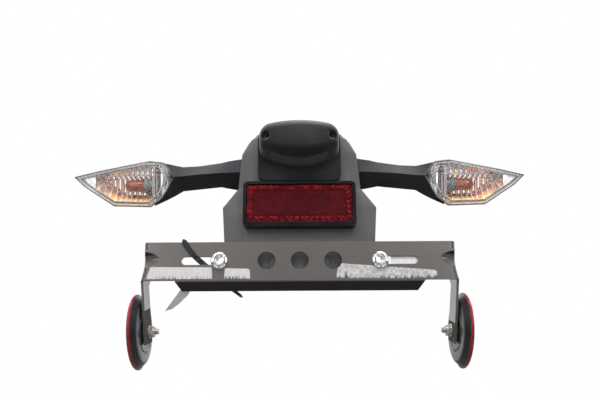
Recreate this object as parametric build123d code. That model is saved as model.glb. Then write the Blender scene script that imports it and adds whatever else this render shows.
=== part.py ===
from build123d import *
import os
from math import cos, hypot, radians, sin, tan

os.makedirs("parts", exist_ok=True)

# Sizes are in millimetres and angles in degrees. Everything is drawn about the centre of the plate
# bracket, with x to the right, y forward along the bike and z up. Pieces on the rear face are drawn
# flat first, with x right, y up the face and z out of it, and then leaned back by the plate's tilt.
# Last of all, each piece is moved so that the centre of the mount plate's top face is the origin.

PLATE_TILT = 17.0
UP = cos(radians(PLATE_TILT))
LEAN = sin(radians(PLATE_TILT))

# clearances
FIT = 0.3
SLIDE = 0.15

# plate bracket: half widths are to the outside of the bend, at the top, middle and lower edge
SHEET = 2.0
BEND = 3.0
PLATE_UP = 15.3
PLATE_DOWN = 15.9
HALF_TOP = 125.2
HALF_MID = 124.7
HALF_LOW = 127.4
FLARE_FROM = -4.0
END_RUN = 14.0
HOLE_R = 7.2
HOLE_PITCH = 26.6
SLOT_IN = 60.5
SLOT_OUT = 94.5
LIP_BEND = 45.0
LIP_LONG = 9.6
LIP_HALF = 99.5
LIP_HALF_LOW = 92.5
LIP_START = 8.0
DART_R = 6.6
DART_SHELL = 1.6
DART_OUT = 4.8
DART_RISE = 1.4
DART_TURN = 113.0

# bracket legs
LEG_W = 22.0
LEG_YAW = 5.0
LEG_LOW_Z = -67.0
LEG_LOW_HALF = 125.2
LEG_LOW_Y = -4.6

# side reflectors
DISC_R = 30.4
CUP_R = 29.4
CUP_PAD_R = 8.0
CUP_PAD = 1.0
CUP_STEP_R = 22.5
CUP_STEP = 2.2
CUP_RIM = 2.6
DISC_LENS = 2.6
DISC_EDGE = 1.2
DISC_RISE = 9.4
DISC_STUD_D = 5.0
DISC_STUD_IN = 10.4
DISC_STUD_OUT = 3.4
DISC_NUT_AF = 8.0
DISC_NUT_H = 4.2
DISC_WASHER_R = 5.2
DISC_WASHER_H = 1.0

# number plate bolts
BOLT_X = 64.4
BOLT_D = 6.0
BOLT_FLANGE_R = 6.8
BOLT_FLANGE_H = 1.4
BOLT_AF = 10.0
BOLT_HEAD_H = 5.2
BOLT_DISH_R = 3.0
BOLT_DISH = 0.8
BOLT_LONG = 14.0
NUT_FLANGE_R = 7.0
NUT_FLANGE_H = 1.4
NUT_H = 6.0
SLOT_H = BOLT_D + 2 * FIT

# mount plate
MOUNT_AHEAD = 80.0
MOUNT_T = 3.0
MOUNT_W = 78.0
MOUNT_L = 62.0
MOUNT_CORNER = 6.0
MOUNT_BOLT_X = 56.0
MOUNT_BOLT_Y = 40.0
MOUNT_BOLT_R = 3.3
WIRE_R = 11.0
MOUNT_SCREW_EDGE = 6.0
MOUNT_SCREW_D = 4.0
MOUNT_SCREW_HEAD_R = 3.8
MOUNT_SCREW_HEAD_H = 2.2
MOUNT_NUT_AF = 7.0
MOUNT_NUT_H = 3.2
MOUNT_SCREW_OVER = 1.6

# body: half outlines from the top down, on the flat rear face and behind its bevel
WALL = 3.0
FACE = -9.0
BEVEL = 7.0
BODY_TOP = 107.0
BODY_LOW = -13.0
DECK_MARGIN = 3.2
DECK_HALF = MOUNT_W / 2 + DECK_MARGIN
FACE_SIDE = [
    (34.6, BODY_TOP), (36.0, 97.8), (40.0, 77.0), (42.5, 66.0), (43.5, 50.0), (43.5, BODY_LOW),
]
BODY_SIDE = [
    (DECK_HALF, BODY_TOP), (48.4, 95.8), (50.0, 80.0), (51.2, 65.4), (64.0, 48.8), (60.2, BODY_LOW),
]
SHOULDER_FACE = [(33.0, 112.0), (33.6, 110.0), (34.2, 108.5), (34.6, 105.0)]
SHOULDER_BACK = [(35.6, 113.8), (37.6, 111.4), (40.8, 108.9), (DECK_HALF, 105.0)]
BODY_RUN = 84.0
RIB_X = 20.0
RIB_T = 2.0
RIB_TALL = 11.0
RIB_LONG = 56.0
FLOOR_REAR = (22.0, -14.0)
FLOOR_FRONT = (126.0, 66.0)
FLOOR_DEEP = 60.0

# bracket fixing
STUD_X = 17.0
STUD_Y = -3.8
STUD_D = 6.0
SPACER_R = 7.2
STUD_NUT_AF = 10.0
STUD_NUT_H = 5.0
STUD_OVER = 2.0

# rear reflector
REFLECTOR_Y = 47.8
REFLECTOR_W = 92.4
REFLECTOR_H = 38.6
REFLECTOR_R = 4.0
REFLECTOR_D = 9.6
LENS_W = 86.6
LENS_H = 31.6
LENS_Y = 48.5
LENS_R = 2.0
LENS_T = 2.6
LENS_LOW = 0.8
REFLECTOR_STUD_X = 28.0
REFLECTOR_STUD_D = 5.0
REFLECTOR_NUT_AF = 8.0
REFLECTOR_NUT_H = 4.0
REFLECTOR_STUD_OVER = 2.5
REFLECTOR_STUD_IN = 4.0

# plate lamp: heights are up the face, depths are out of it
LAMP_HALF = 32.8
LAMP_TOP = 114.2
LAMP_CORNER = 11.0
LAMP_CROWN_R = 300.0
LAMP_FRONT = 24.0
LAMP_BOW_R = 68.0
LAMP_RISE = 15.0
LAMP_EDGE = 8.0
LAMP_LOW = 78.3
LAMP_LOW_R = 56.0
LAMP_LOW_CORNER = 9.0
LAMP_WALL = 2.4
LAMP_BOTTOM = 70.0
BASE_HALF = 34.4
BASE_LOW = 67.4
BASE_TOP = 110.0
BASE_CORNER = 7.0
BASE_FRONT = 1.2
BASE_FLOOR = 4.0
BASE_WALL = 4.6
LAMP_GASKET = 0.8
GLASS_HALF = 23.0
GLASS_REAR = 5.0
GLASS_FRONT = 15.0
GLASS_FLANGE = 1.6
GLASS_FLANGE_T = 1.4
COVER_SCREW_X = 27.4
COVER_SCREW_Y = 101.0
COVER_RECESS_R = 3.7
COVER_BOSS_R = 5.2
COVER_FLOOR = 7.0
COVER_SCREW_D = 3.0
COVER_SCREW_HEAD_R = 3.0
COVER_SCREW_HEAD_H = 2.0
COVER_SCREW_DEEP = 7.0
HOLDER_Y = 93.0
HOLDER_R = 6.5
HOLDER_FRONT = 3.5
LAMP_BULB_R = 4.6
LAMP_BULB_L = 12.0
LAMP_WIRE_R = 3.0

# turn signals: the outline is seen from the rear, heights from the bracket's centre
SIGNAL_SEAM = 52.0
SIGNAL_OUTLINE = [
    (192.0, 68.8), (171.4, 73.7), (128.6, 82.0), (116.5, 80.6), (106.7, 69.2),
    (118.0, 50.9), (127.7, 43.6), (159.0, 44.5), (184.3, 61.3),
]
SIGNAL_MID = (140.0, 63.0)
SIGNAL_LENS_D = 11.0
SIGNAL_LENS_SHRINK = 0.9
SIGNAL_LENS_T = 1.8
SIGNAL_GASKET = 0.8
SIGNAL_BACK_D = 22.0
SIGNAL_BACK_SHRINK = 0.62
SIGNAL_WALL = 1.8
SIGNAL_BOWL_T = 1.0
SOCKET_R = 6.2
SOCKET_FROM = 116.5
SOCKET_TO = 134.0
BULB_SEAT = 4.0
SOCKET_Y = 59.5
SOCKET_Z = 61.4
BULB_R = 5.0
BULB_TO = 151.0

# turn signal stalks: distance out, then heights of the top, the ridge and the underside
STALK = [
    (44.0, 84.6, 72.6, 55.6), (60.0, 82.3, 72.2, 58.3), (67.0, 80.6, 71.9, 59.7),
    (86.0, 78.0, 70.7, 57.7), (100.0, 77.3, 69.2, 56.4), (106.5, 78.6, 69.1, 52.6),
    (114.0, 80.3, 68.6, 48.8), (125.0, 81.6, 66.0, 43.9),
]
RIDGE_ROOT = 42.5
RIDGE_END = 45.5
STALK_FACET = 10.5
STALK_DEEP = 19.0
STALK_BACK_CUT = 4.0
STALK_BOSS_Y = 54.0
STALK_BOSS_Z = 70.5
STALK_BOSS_D = 10.0
STALK_BOSS_IN = 36.5
STALK_PAD_X = 44.0
STALK_PAD_R = 11.0
STALK_NUT_AF = 16.0
STALK_NUT_H = 5.0
STALK_BORE_D = 5.0

# cable tie: points of its path on the face and in front of it, each with the tie's width there;
# then the tape and the loose strip, as outlines
TIE_T = 1.2
TIE_PATH = [
    (-93.6, 17.3, 2.6, 4.2), (-90.0, 11.1, 2.2, 4.4), (-85.2, 5.0, 1.8, 4.4), (-81.9, 1.5, 1.7, 4.4),
    (-77.8, -1.6, -1.9, 4.4), (-71.9, -6.3, -4.6, 4.4), (-64.1, -12.6, -10.0, 4.0),
    (-55.3, -19.8, -13.0, 3.2), (-51.2, -23.2, -12.8, 2.6), (-46.2, -27.3, -12.0, 2.2),
]
TAPE_T = 0.3
TAPE_LONG = [(-121.0, -14.9), (-118.2, -4.9), (-70.4, -5.4), (-69.6, -10.0), (-70.8, -14.9)]
TAPE_SHORT = [(-60.2, -14.9), (-59.4, -9.5), (-60.0, -6.2), (-41.2, -6.6), (-39.6, -8.4), (-39.8, -14.9)]
TAPE_RIGHT = [
    (30.6, -2.4), (107.0, -8.3), (109.2, -9.8), (109.4, -12.8), (107.0, -14.9),
    (38.0, -14.9), (36.8, -9.8), (35.2, -14.6), (29.0, -14.4),
]
TAPE_BACK = [(73.0, -5.4), (99.0, -5.0), (99.4, 5.0), (72.6, 5.6)]
STRIP = [(-92.6, 5.0), (-84.6, 5.0), (-90.5, 15.0), (-98.5, 23.5), (-104.0, 28.0), (-109.8, 30.0)]
STRIP_T = 0.4

LEG_IN = BEND * tan(radians(45 + LEG_YAW / 2))
MOUNT_SCREW_X = MOUNT_W / 2 - MOUNT_SCREW_EDGE
DECK_Z = BODY_TOP * UP + (FACE - BEVEL) * LEAN
DECK_LOW = (BODY_TOP - WALL) * UP + (FACE - BEVEL - WALL) * LEAN
MOUNT_RISE = DECK_Z + MOUNT_T

TILT = Rot(90 - PLATE_TILT, 0, 0)
TO_MOUNT = Pos(0, -MOUNT_AHEAD, -MOUNT_RISE)


def save(name, *solids):
    """Write one node, as one solid or as a group of like solids."""
    shape = solids[0] if len(solids) == 1 else Compound(list(solids))
    export_step(TO_MOUNT * shape, f"parts/{name}.step")


def flip(shape):
    """The same piece on the other side."""
    return mirror(shape, about=Plane.YZ)


def poly(points):
    """A flat face with straight edges."""
    return make_face(Polyline(*points, close=True))


def both(half):
    """A full outline from its right half."""
    return half + [(-x, y) for x, y in reversed(half)]


def inset(points, gap):
    """The outline moved inwards by one gap all round, with the same corners."""
    count = len(points)
    area = sum(points[i][0] * points[(i + 1) % count][1] - points[(i + 1) % count][0] * points[i][1]
               for i in range(count))
    side = gap if area > 0 else -gap
    lines = []
    for i in range(count):
        (x0, y0), (x1, y1) = points[i], points[(i + 1) % count]
        long = hypot(x1 - x0, y1 - y0)
        nx, ny = -(y1 - y0) / long, (x1 - x0) / long
        lines.append((nx, ny, nx * x0 + ny * y0 + side))
    corners = []
    for i in range(count):
        a0, b0, c0 = lines[i - 1]
        a1, b1, c1 = lines[i]
        under = a0 * b1 - a1 * b0
        corners.append(((c0 * b1 - c1 * b0) / under, (a0 * c1 - a1 * c0) / under))
    return corners


def scaled(points, middle, share):
    """The outline drawn smaller about a middle point."""
    return [(middle[0] + (x - middle[0]) * share, middle[1] + (y - middle[1]) * share) for x, y in points]


def rod(x, y, low, high, radius):
    """A round bar standing on the face."""
    return Pos(x, y, (low + high) / 2) * Cylinder(radius, high - low)


def hexbar(x, y, low, high, across):
    """A six-sided bar standing on the face."""
    return Pos(x, y, low) * extrude(RegularPolygon(across / 2, 6, major_radius=False), amount=high - low)


def slab(face, low, high):
    """A flat outline given thickness."""
    return Pos(0, 0, low) * extrude(face, amount=high - low)


def body_shape(face_side, body_side, face_at, bevel_at, run):
    """The body's outer form: flat face, bevel, then straight forward along the bike."""
    face = Pos(0, 0, face_at) * poly(both(face_side))
    bevel = Pos(0, 0, bevel_at) * poly(both(body_side))
    front = Pos(0, run * LEAN, bevel_at - run * UP) * poly(both(body_side))
    return TILT * loft([face, bevel, front], ruled=True)


def floor_cut():
    """All that lies under the body's sloping floor."""
    wide = max(x for x, y in BODY_SIDE) + WALL
    low = FLOOR_REAR[1] - FLOOR_DEEP
    section = poly([FLOOR_REAR, FLOOR_FRONT, (FLOOR_FRONT[0], low), (FLOOR_REAR[0], low)])
    return Pos(-wide, 0, 0) * extrude(Plane.YZ * section, amount=2 * wide)


def cavity_side(side):
    """The inside of a half outline, one wall in from the outside."""
    whole = inset(both(side), WALL)
    return whole[:len(side)]


floor_long = hypot(FLOOR_FRONT[0] - FLOOR_REAR[0], FLOOR_FRONT[1] - FLOOR_REAR[1])
floor_up = Pos(
    0,
    -(FLOOR_FRONT[1] - FLOOR_REAR[1]) / floor_long * WALL,
    (FLOOR_FRONT[0] - FLOOR_REAR[0]) / floor_long * WALL,
)
below_floor = floor_cut()
body_outer = body_shape(FACE_SIDE, BODY_SIDE, FACE, FACE - BEVEL, BODY_RUN) - below_floor
cavity = body_shape(
    cavity_side(FACE_SIDE), cavity_side(BODY_SIDE), FACE - WALL, FACE - BEVEL - WALL, BODY_RUN
) - floor_up * below_floor
shoulder_face = Pos(0, 0, FACE) * poly(both(SHOULDER_FACE))
shoulder_back = Pos(0, 0, FACE - BEVEL) * poly(both(SHOULDER_BACK))
shoulder = TILT * loft([shoulder_face, shoulder_back], ruled=True)
body = body_outer - cavity + shoulder
for side in (1, -1):
    body += Pos(side * RIB_X, MOUNT_AHEAD, (DECK_LOW + DECK_Z) / 2 - RIB_TALL / 2) * Box(
        RIB_T, RIB_LONG, DECK_Z - DECK_LOW + RIB_TALL - WALL
    )

# inside pads that give the stalk nuts a flat seat, and the holes for the stalk bosses
for side in (1, -1):
    pad = Pos(side * (STALK_PAD_X + BODY_SIDE[0][0] / 2), STALK_BOSS_Y, STALK_BOSS_Z) * (
        Rot(0, 90, 0) * Cylinder(STALK_PAD_R, BODY_SIDE[0][0])
    )
    body += pad & body_outer
boss_bore = Pos(0, STALK_BOSS_Y, STALK_BOSS_Z) * (
    Rot(0, 90, 0) * Cylinder(STALK_BOSS_D / 2 + SLIDE, 4 * STALK_PAD_X)
)
body -= boss_bore

# holes through the face for the bracket studs, the reflector studs and the lamp's wires
face_holes = [(0, HOLDER_Y, LAMP_WIRE_R)]
for side in (1, -1):
    face_holes.append((side * STUD_X, STUD_Y, STUD_D / 2 + SLIDE))
    face_holes.append((side * REFLECTOR_STUD_X, REFLECTOR_Y, REFLECTOR_STUD_D / 2 + SLIDE))
for x, y, radius in face_holes:
    body -= TILT * rod(x, y, FACE - 2 * WALL, FACE + WALL, radius)

# mount plate on the deck, with its screws and nuts
mount_bolts = Pos(0, MOUNT_AHEAD, 0) * GridLocations(MOUNT_BOLT_X, MOUNT_BOLT_Y, 2, 2)
mount_screws = Pos(0, MOUNT_AHEAD, 0) * GridLocations(2 * MOUNT_SCREW_X, 0, 2, 1)
deck_holes = [spot * Circle(MOUNT_BOLT_R) for spot in mount_bolts]
deck_holes += [spot * Circle(MOUNT_SCREW_D / 2 + SLIDE) for spot in mount_screws]
deck_holes.append(Pos(0, MOUNT_AHEAD, 0) * Circle(WIRE_R))
deck_cut = slab(Sketch() + deck_holes, DECK_Z - 2 * WALL, DECK_Z + 2 * MOUNT_T)
body -= deck_cut
save("body", body)

mount_plate = slab(
    Pos(0, MOUNT_AHEAD, 0) * RectangleRounded(MOUNT_W, MOUNT_L, MOUNT_CORNER), DECK_Z, DECK_Z + MOUNT_T
) - deck_cut
save("mount_plate", mount_plate)

mount_screw_solids = []
mount_nut_solids = []
for spot in mount_screws:
    at_x = spot.position.X
    shank_low = DECK_LOW - MOUNT_NUT_H - MOUNT_SCREW_OVER
    shank = rod(at_x, MOUNT_AHEAD, shank_low, MOUNT_RISE, MOUNT_SCREW_D / 2)
    head = rod(at_x, MOUNT_AHEAD, MOUNT_RISE, MOUNT_RISE + MOUNT_SCREW_HEAD_H, MOUNT_SCREW_HEAD_R)
    mount_screw_solids.append(shank + head)
    nut = hexbar(at_x, MOUNT_AHEAD, DECK_LOW - MOUNT_NUT_H, DECK_LOW, MOUNT_NUT_AF)
    mount_nut_solids.append(nut - shank)
save("mount_plate_screws", *mount_screw_solids)
save("mount_plate_nuts", *mount_nut_solids)

# rear reflector
frame_front = FACE + REFLECTOR_D
lens_front = frame_front - LENS_LOW
lens_face = Pos(0, LENS_Y) * RectangleRounded(LENS_W, LENS_H, LENS_R)
lens_pocket = Pos(0, LENS_Y) * RectangleRounded(LENS_W + 2 * SLIDE, LENS_H + 2 * SLIDE, LENS_R)
frame_face = Pos(0, REFLECTOR_Y) * RectangleRounded(REFLECTOR_W, REFLECTOR_H, REFLECTOR_R)
reflector_frame = slab(frame_face, FACE, frame_front)
reflector_frame -= slab(lens_pocket, lens_front - LENS_T, frame_front + LENS_T)
stud_seat = FACE + REFLECTOR_STUD_IN
nut_low = FACE - WALL - REFLECTOR_NUT_H
reflector_studs = []
reflector_nuts = []
for side in (1, -1):
    stud_low = nut_low - REFLECTOR_STUD_OVER
    stud = rod(side * REFLECTOR_STUD_X, REFLECTOR_Y, stud_low, stud_seat, REFLECTOR_STUD_D / 2)
    reflector_frame -= stud
    reflector_studs.append(TILT * stud)
    nut = hexbar(side * REFLECTOR_STUD_X, REFLECTOR_Y, nut_low, FACE - WALL, REFLECTOR_NUT_AF) - stud
    reflector_nuts.append(TILT * nut)
save("reflector_frame", TILT * reflector_frame)
save("reflector_lens", TILT * slab(lens_face, lens_front - LENS_T, lens_front))
save("reflector_studs", *reflector_studs)
save("reflector_nuts", *reflector_nuts)

# plate lamp: the hood is an outline pushed out of the face, bowed across, with an underside that
# rises towards its front and edges that are well rounded
hood_rear = BASE_FRONT + LAMP_GASKET
low_slope = radians(LAMP_RISE)
low_middle = LAMP_LOW + LAMP_LOW_R / cos(low_slope) - BASE_FRONT * tan(low_slope)


def hood_roll(gap):
    """A round bar whose lowest side is the hood's underside, moved inwards by a gap."""
    return Pos(0, low_middle, 0) * (Rot(-LAMP_RISE, 0, 0) * Cylinder(LAMP_LOW_R - gap, 2 * LAMP_TOP))


def hood_form(gap):
    """The hood's outer form, moved inwards by a gap."""
    tall = LAMP_TOP - LAMP_BOTTOM
    block = Pos(0, LAMP_BOTTOM + tall / 2) * Rectangle(2 * (LAMP_HALF - gap), tall)
    outline = block & Pos(0, LAMP_TOP - LAMP_CROWN_R) * Circle(LAMP_CROWN_R - gap)
    outline = fillet(outline.vertices().group_by(Axis.Y)[-1], LAMP_CORNER - gap)
    bow = Rot(90, 0, 0) * Cylinder(LAMP_BOW_R - gap, 2 * LAMP_TOP)
    bow = Pos(0, LAMP_TOP, LAMP_FRONT - LAMP_BOW_R) * bow
    form = slab(outline, BASE_FRONT, LAMP_FRONT) & bow & hood_roll(gap)
    low_corners = [wall.edges().sort_by(Axis.Y)[0] for wall in form.faces().filter_by(Axis.X)]
    form = fillet(low_corners, LAMP_LOW_CORNER - gap)
    return fillet(form.faces().sort_by(Axis.Z)[-1].edges(), LAMP_EDGE - gap)


hood_whole = hood_form(0)
hood_space = hood_form(LAMP_WALL)
rim = Pos(0, LAMP_TOP, (BASE_FRONT + hood_rear) / 2) * Box(2 * LAMP_TOP, 2 * LAMP_TOP, LAMP_GASKET)
hood_solid = hood_whole - rim
hood = hood_solid - hood_space
lamp_gasket = (hood_whole - hood_space) & rim
cover_screws = []
for side in (1, -1):
    boss = rod(side * COVER_SCREW_X, COVER_SCREW_Y, BASE_FRONT, LAMP_FRONT, COVER_BOSS_R) & hood_whole
    screw_hole = rod(side * COVER_SCREW_X, COVER_SCREW_Y, FACE, LAMP_FRONT, COVER_SCREW_D / 2 + SLIDE)
    hood += boss & hood_solid
    hood -= rod(side * COVER_SCREW_X, COVER_SCREW_Y, COVER_FLOOR, LAMP_FRONT, COVER_RECESS_R)
    hood -= screw_hole
    lamp_gasket += boss & rim
    lamp_gasket -= screw_hole
    head_top = COVER_FLOOR + COVER_SCREW_HEAD_H
    shank_low = BASE_FRONT - COVER_SCREW_DEEP
    shank = rod(side * COVER_SCREW_X, COVER_SCREW_Y, shank_low, COVER_FLOOR, COVER_SCREW_D / 2)
    head = rod(side * COVER_SCREW_X, COVER_SCREW_Y, COVER_FLOOR, head_top, COVER_SCREW_HEAD_R)
    cover_screws.append(shank + head)


def glass_block(grow):
    """The space of the lens opening, made larger or smaller all round."""
    return Pos(0, LAMP_LOW, (GLASS_REAR + GLASS_FRONT) / 2) * Box(
        2 * (GLASS_HALF + grow), LAMP_TOP - LAMP_LOW, GLASS_FRONT - GLASS_REAR + 2 * grow
    )


# the lens fills an opening in the hood's underside and rests on a flange inside it
hood -= glass_block(0)
pane = (hood_solid - hood_space) & glass_block(-SLIDE)
flange = (hood_space - hood_roll(LAMP_WALL + GLASS_FLANGE_T)) & glass_block(GLASS_FLANGE)
lamp_lens = pane + flange

base_tall = BASE_TOP - BASE_LOW
base_mid = (BASE_TOP + BASE_LOW) / 2
lamp_base = slab(Pos(0, base_mid) * RectangleRounded(2 * BASE_HALF, base_tall, BASE_CORNER), FACE, BASE_FRONT)
tray_face = hood_form(BASE_WALL).faces().sort_by(Axis.Z)[0]
tray = extrude(tray_face, amount=BASE_FRONT - FACE - BASE_FLOOR, dir=(0, 0, -1))
tray_bosses = [rod(side * COVER_SCREW_X, COVER_SCREW_Y, FACE, BASE_FRONT, COVER_BOSS_R) for side in (1, -1)]
for boss in tray_bosses:
    tray -= boss
lamp_base -= tray
lamp_base -= rod(0, HOLDER_Y, FACE - WALL, FACE + WALL, LAMP_WIRE_R)
lamp_base -= rod(0, HOLDER_Y, FACE + WALL, BASE_FRONT, LAMP_WIRE_R)
for screw in cover_screws:
    lamp_base -= screw
holder_low = FACE + BASE_FLOOR
lamp_holder = rod(0, HOLDER_Y, holder_low, HOLDER_FRONT, HOLDER_R)
bulb_low = HOLDER_FRONT - LAMP_BULB_R
lamp_holder -= rod(0, HOLDER_Y, bulb_low, HOLDER_FRONT, LAMP_BULB_R)
lamp_bulb = rod(0, HOLDER_Y, bulb_low, bulb_low + LAMP_BULB_L - LAMP_BULB_R, LAMP_BULB_R)
lamp_bulb += Pos(0, HOLDER_Y, bulb_low + LAMP_BULB_L - LAMP_BULB_R) * Sphere(LAMP_BULB_R)
save("lamp_base", TILT * lamp_base)
save("lamp_gasket", TILT * lamp_gasket)
save("lamp_cover", TILT * hood)
save("lamp_lens", TILT * lamp_lens)
save("lamp_cover_screws", *[TILT * screw for screw in cover_screws])
save("lamp_bulb_holder", TILT * lamp_holder)
save("lamp_bulb", TILT * lamp_bulb)


def seen(points, depth):
    """An outline seen from the rear, standing upright at a depth along the bike."""
    return Plane(origin=(0, depth, 0), x_dir=(1, 0, 0), z_dir=(0, -1, 0)) * poly(points)


def along_x(shape, y, z):
    """A bar drawn upright, laid across the bike at a depth and a height."""
    return Pos(0, y, z) * (Rot(0, 90, 0) * shape)


# turn signals, drawn on the right and flipped for the left
signal_small = scaled(SIGNAL_OUTLINE, SIGNAL_MID, SIGNAL_LENS_SHRINK)
signal_back = scaled(SIGNAL_OUTLINE, SIGNAL_MID, SIGNAL_BACK_SHRINK)
lens_rim = SIGNAL_SEAM - SIGNAL_GASKET
lens_end = lens_rim - SIGNAL_LENS_D
back_end = SIGNAL_SEAM + SIGNAL_BACK_D
bowl_gap = SIGNAL_WALL + SIGNAL_BOWL_T
signal_lens = loft([seen(SIGNAL_OUTLINE, lens_rim), seen(signal_small, lens_end)], ruled=True)
signal_lens -= loft(
    [seen(inset(SIGNAL_OUTLINE, SIGNAL_LENS_T), lens_rim),
     seen(inset(signal_small, SIGNAL_LENS_T), lens_end + SIGNAL_LENS_T)],
    ruled=True,
)
gasket_ring = seen(SIGNAL_OUTLINE, SIGNAL_SEAM) - seen(inset(SIGNAL_OUTLINE, SIGNAL_LENS_T), SIGNAL_SEAM)
signal_gasket = extrude(gasket_ring, amount=SIGNAL_GASKET)
housing_outer = loft([seen(SIGNAL_OUTLINE, SIGNAL_SEAM), seen(signal_back, back_end)], ruled=True)


def housing_space(gap):
    """The inside of the housing, one gap in from the outside."""
    rim = seen(inset(SIGNAL_OUTLINE, gap), SIGNAL_SEAM)
    back = seen(inset(signal_back, gap), back_end - gap)
    return loft([rim, back], ruled=True)


housing_inner = housing_space(SIGNAL_WALL)
bowl_inner = housing_space(bowl_gap)
socket_space = along_x(rod(0, 0, SOCKET_FROM, SOCKET_TO, SOCKET_R + SLIDE), SOCKET_Y, SOCKET_Z)
signal_bowl = housing_inner - bowl_inner - socket_space
signal_socket = along_x(rod(0, 0, SOCKET_FROM, SOCKET_TO, SOCKET_R), SOCKET_Y, SOCKET_Z)
bulb_from = SOCKET_TO - BULB_SEAT
bulb_rod = rod(0, 0, bulb_from, BULB_TO - BULB_R, BULB_R)
bulb_tip = Pos(0, 0, BULB_TO - BULB_R) * Sphere(BULB_R)
signal_bulb = along_x(bulb_rod + bulb_tip, SOCKET_Y, SOCKET_Z)
signal_socket -= along_x(bulb_rod, SOCKET_Y, SOCKET_Z)

stalk_sections = []
for out, top, ridge, under in STALK:
    share = (out - STALK[0][0]) / (STALK[-1][0] - STALK[0][0])
    near = RIDGE_ROOT + (RIDGE_END - RIDGE_ROOT) * share
    corners = [
        (near, ridge), (near + STALK_FACET, top), (near + STALK_DEEP, top - STALK_BACK_CUT),
        (near + STALK_DEEP, under + STALK_BACK_CUT), (near + STALK_FACET, under),
    ]
    stalk_sections.append(Plane(origin=(out, 0, 0), x_dir=(0, 1, 0), z_dir=(1, 0, 0)) * poly(corners))
stalk = loft(stalk_sections, ruled=True) - body_outer
stalk -= extrude(seen(SIGNAL_OUTLINE, SIGNAL_SEAM), amount=SIGNAL_SEAM)
signal_boss = along_x(rod(0, 0, STALK_BOSS_IN, STALK[1][0], STALK_BOSS_D / 2), STALK_BOSS_Y, STALK_BOSS_Z)
wire_bore = along_x(rod(0, 0, STALK_BOSS_IN, SOCKET_FROM, STALK_BORE_D / 2), STALK_BOSS_Y, STALK_BOSS_Z)
signal_arm = stalk + housing_outer + signal_boss - housing_inner - socket_space - wire_bore
stalk_nut = along_x(
    hexbar(0, 0, STALK_PAD_X - STALK_NUT_H, STALK_PAD_X, STALK_NUT_AF)
    - rod(0, 0, STALK_BOSS_IN, STALK_PAD_X, STALK_BOSS_D / 2),
    STALK_BOSS_Y, STALK_BOSS_Z,
)
signal_pieces = {
    "arm": signal_arm, "lens": signal_lens, "gasket": signal_gasket, "bowl": signal_bowl,
    "bulb": signal_bulb, "bulb_socket": signal_socket,
}
for name, piece in signal_pieces.items():
    save(f"right_signal_{name}", piece)
    save(f"left_signal_{name}", flip(piece))
save("signal_nuts", stalk_nut, flip(stalk_nut))


# plate bracket: a flat middle, a bent end and a hanging leg on each side, and a lip folded under
def end_section(half, level):
    """The bent end of the sheet, cut across at one height."""
    mid = half - SHEET / 2
    turn = radians(LEG_YAW)
    line = FilletPolyline(
        (half - END_RUN, 0), (mid, 0), (mid - LEG_W * sin(turn), -LEG_W * cos(turn)), radius=BEND
    )
    return Plane(origin=(0, level, 0), x_dir=(1, 0, 0), z_dir=(0, -1, 0)) * trace(line, line_width=SHEET)


plate_levels = [(HALF_TOP, PLATE_UP), (HALF_MID, FLARE_FROM), (HALF_LOW, -PLATE_DOWN)]
plate_face = poly(both([(half - END_RUN, level) for half, level in plate_levels]))
plate = slab(plate_face, -SHEET / 2, SHEET / 2)
bent_end = loft([end_section(half, level) for half, level in plate_levels], ruled=True)

# a dart is pressed across each bend to stiffen it
dart_axis = Pos(HALF_MID + DART_OUT, DART_RISE, SHEET / 2) * Rot(0, DART_TURN, 0)
dart_bulge = dart_axis * Cylinder(DART_R + DART_SHELL, 8 * DART_R)
corner_mid = (HALF_MID - SHEET / 4 - LEG_W / 2, DART_RISE, SHEET / 2 - LEG_W / 2)
corner_space = Pos(corner_mid) * Box(LEG_W, PLATE_UP, LEG_W)
dart_hollow = dart_axis * Cylinder(DART_R, 8 * DART_R)
bent_end = bent_end + (dart_bulge & corner_space) - dart_hollow

# the lip replaces the straight lower edge between its ends
lip_turn = radians(LIP_BEND)
lip_line = FilletPolyline(
    (-LIP_START, 0), (-PLATE_DOWN, 0),
    (-PLATE_DOWN - LIP_LONG * cos(lip_turn), -LIP_LONG * sin(lip_turn)), radius=BEND
)
lip_plane = Plane(origin=(-LIP_HALF, 0, 0), x_dir=(0, 1, 0), z_dir=(1, 0, 0))
lip = extrude(lip_plane * trace(lip_line, line_width=SHEET), amount=2 * LIP_HALF)
lip_low = PLATE_DOWN + LIP_LONG
lip_corner = slab(
    poly([(LIP_HALF, -PLATE_DOWN - SHEET / 2), (LIP_HALF_LOW, -lip_low), (LIP_HALF + LIP_LONG, -lip_low)]),
    -2 * LIP_LONG, LIP_LONG,
)
lip = lip - lip_corner - flip(lip_corner)
edge_cut = Pos(0, -LIP_START - PLATE_DOWN / 2, 0) * Box(2 * LIP_HALF, PLATE_DOWN, 2 * SHEET)

bracket = plate - edge_cut + lip + bent_end + flip(bent_end)
slot_long = SLOT_OUT - SLOT_IN
slot_mid = (SLOT_OUT + SLOT_IN) / 2
plate_cuts = [Pos(spot) * Circle(HOLE_R) for spot in [(-HOLE_PITCH, 0), (0, 0), (HOLE_PITCH, 0)]]
plate_cuts += [Pos(side * slot_mid, 0) * SlotOverall(slot_long, SLOT_H) for side in (1, -1)]
for cut in plate_cuts:
    bracket -= slab(cut, -SHEET, SHEET)
bracket = TILT * bracket

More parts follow.
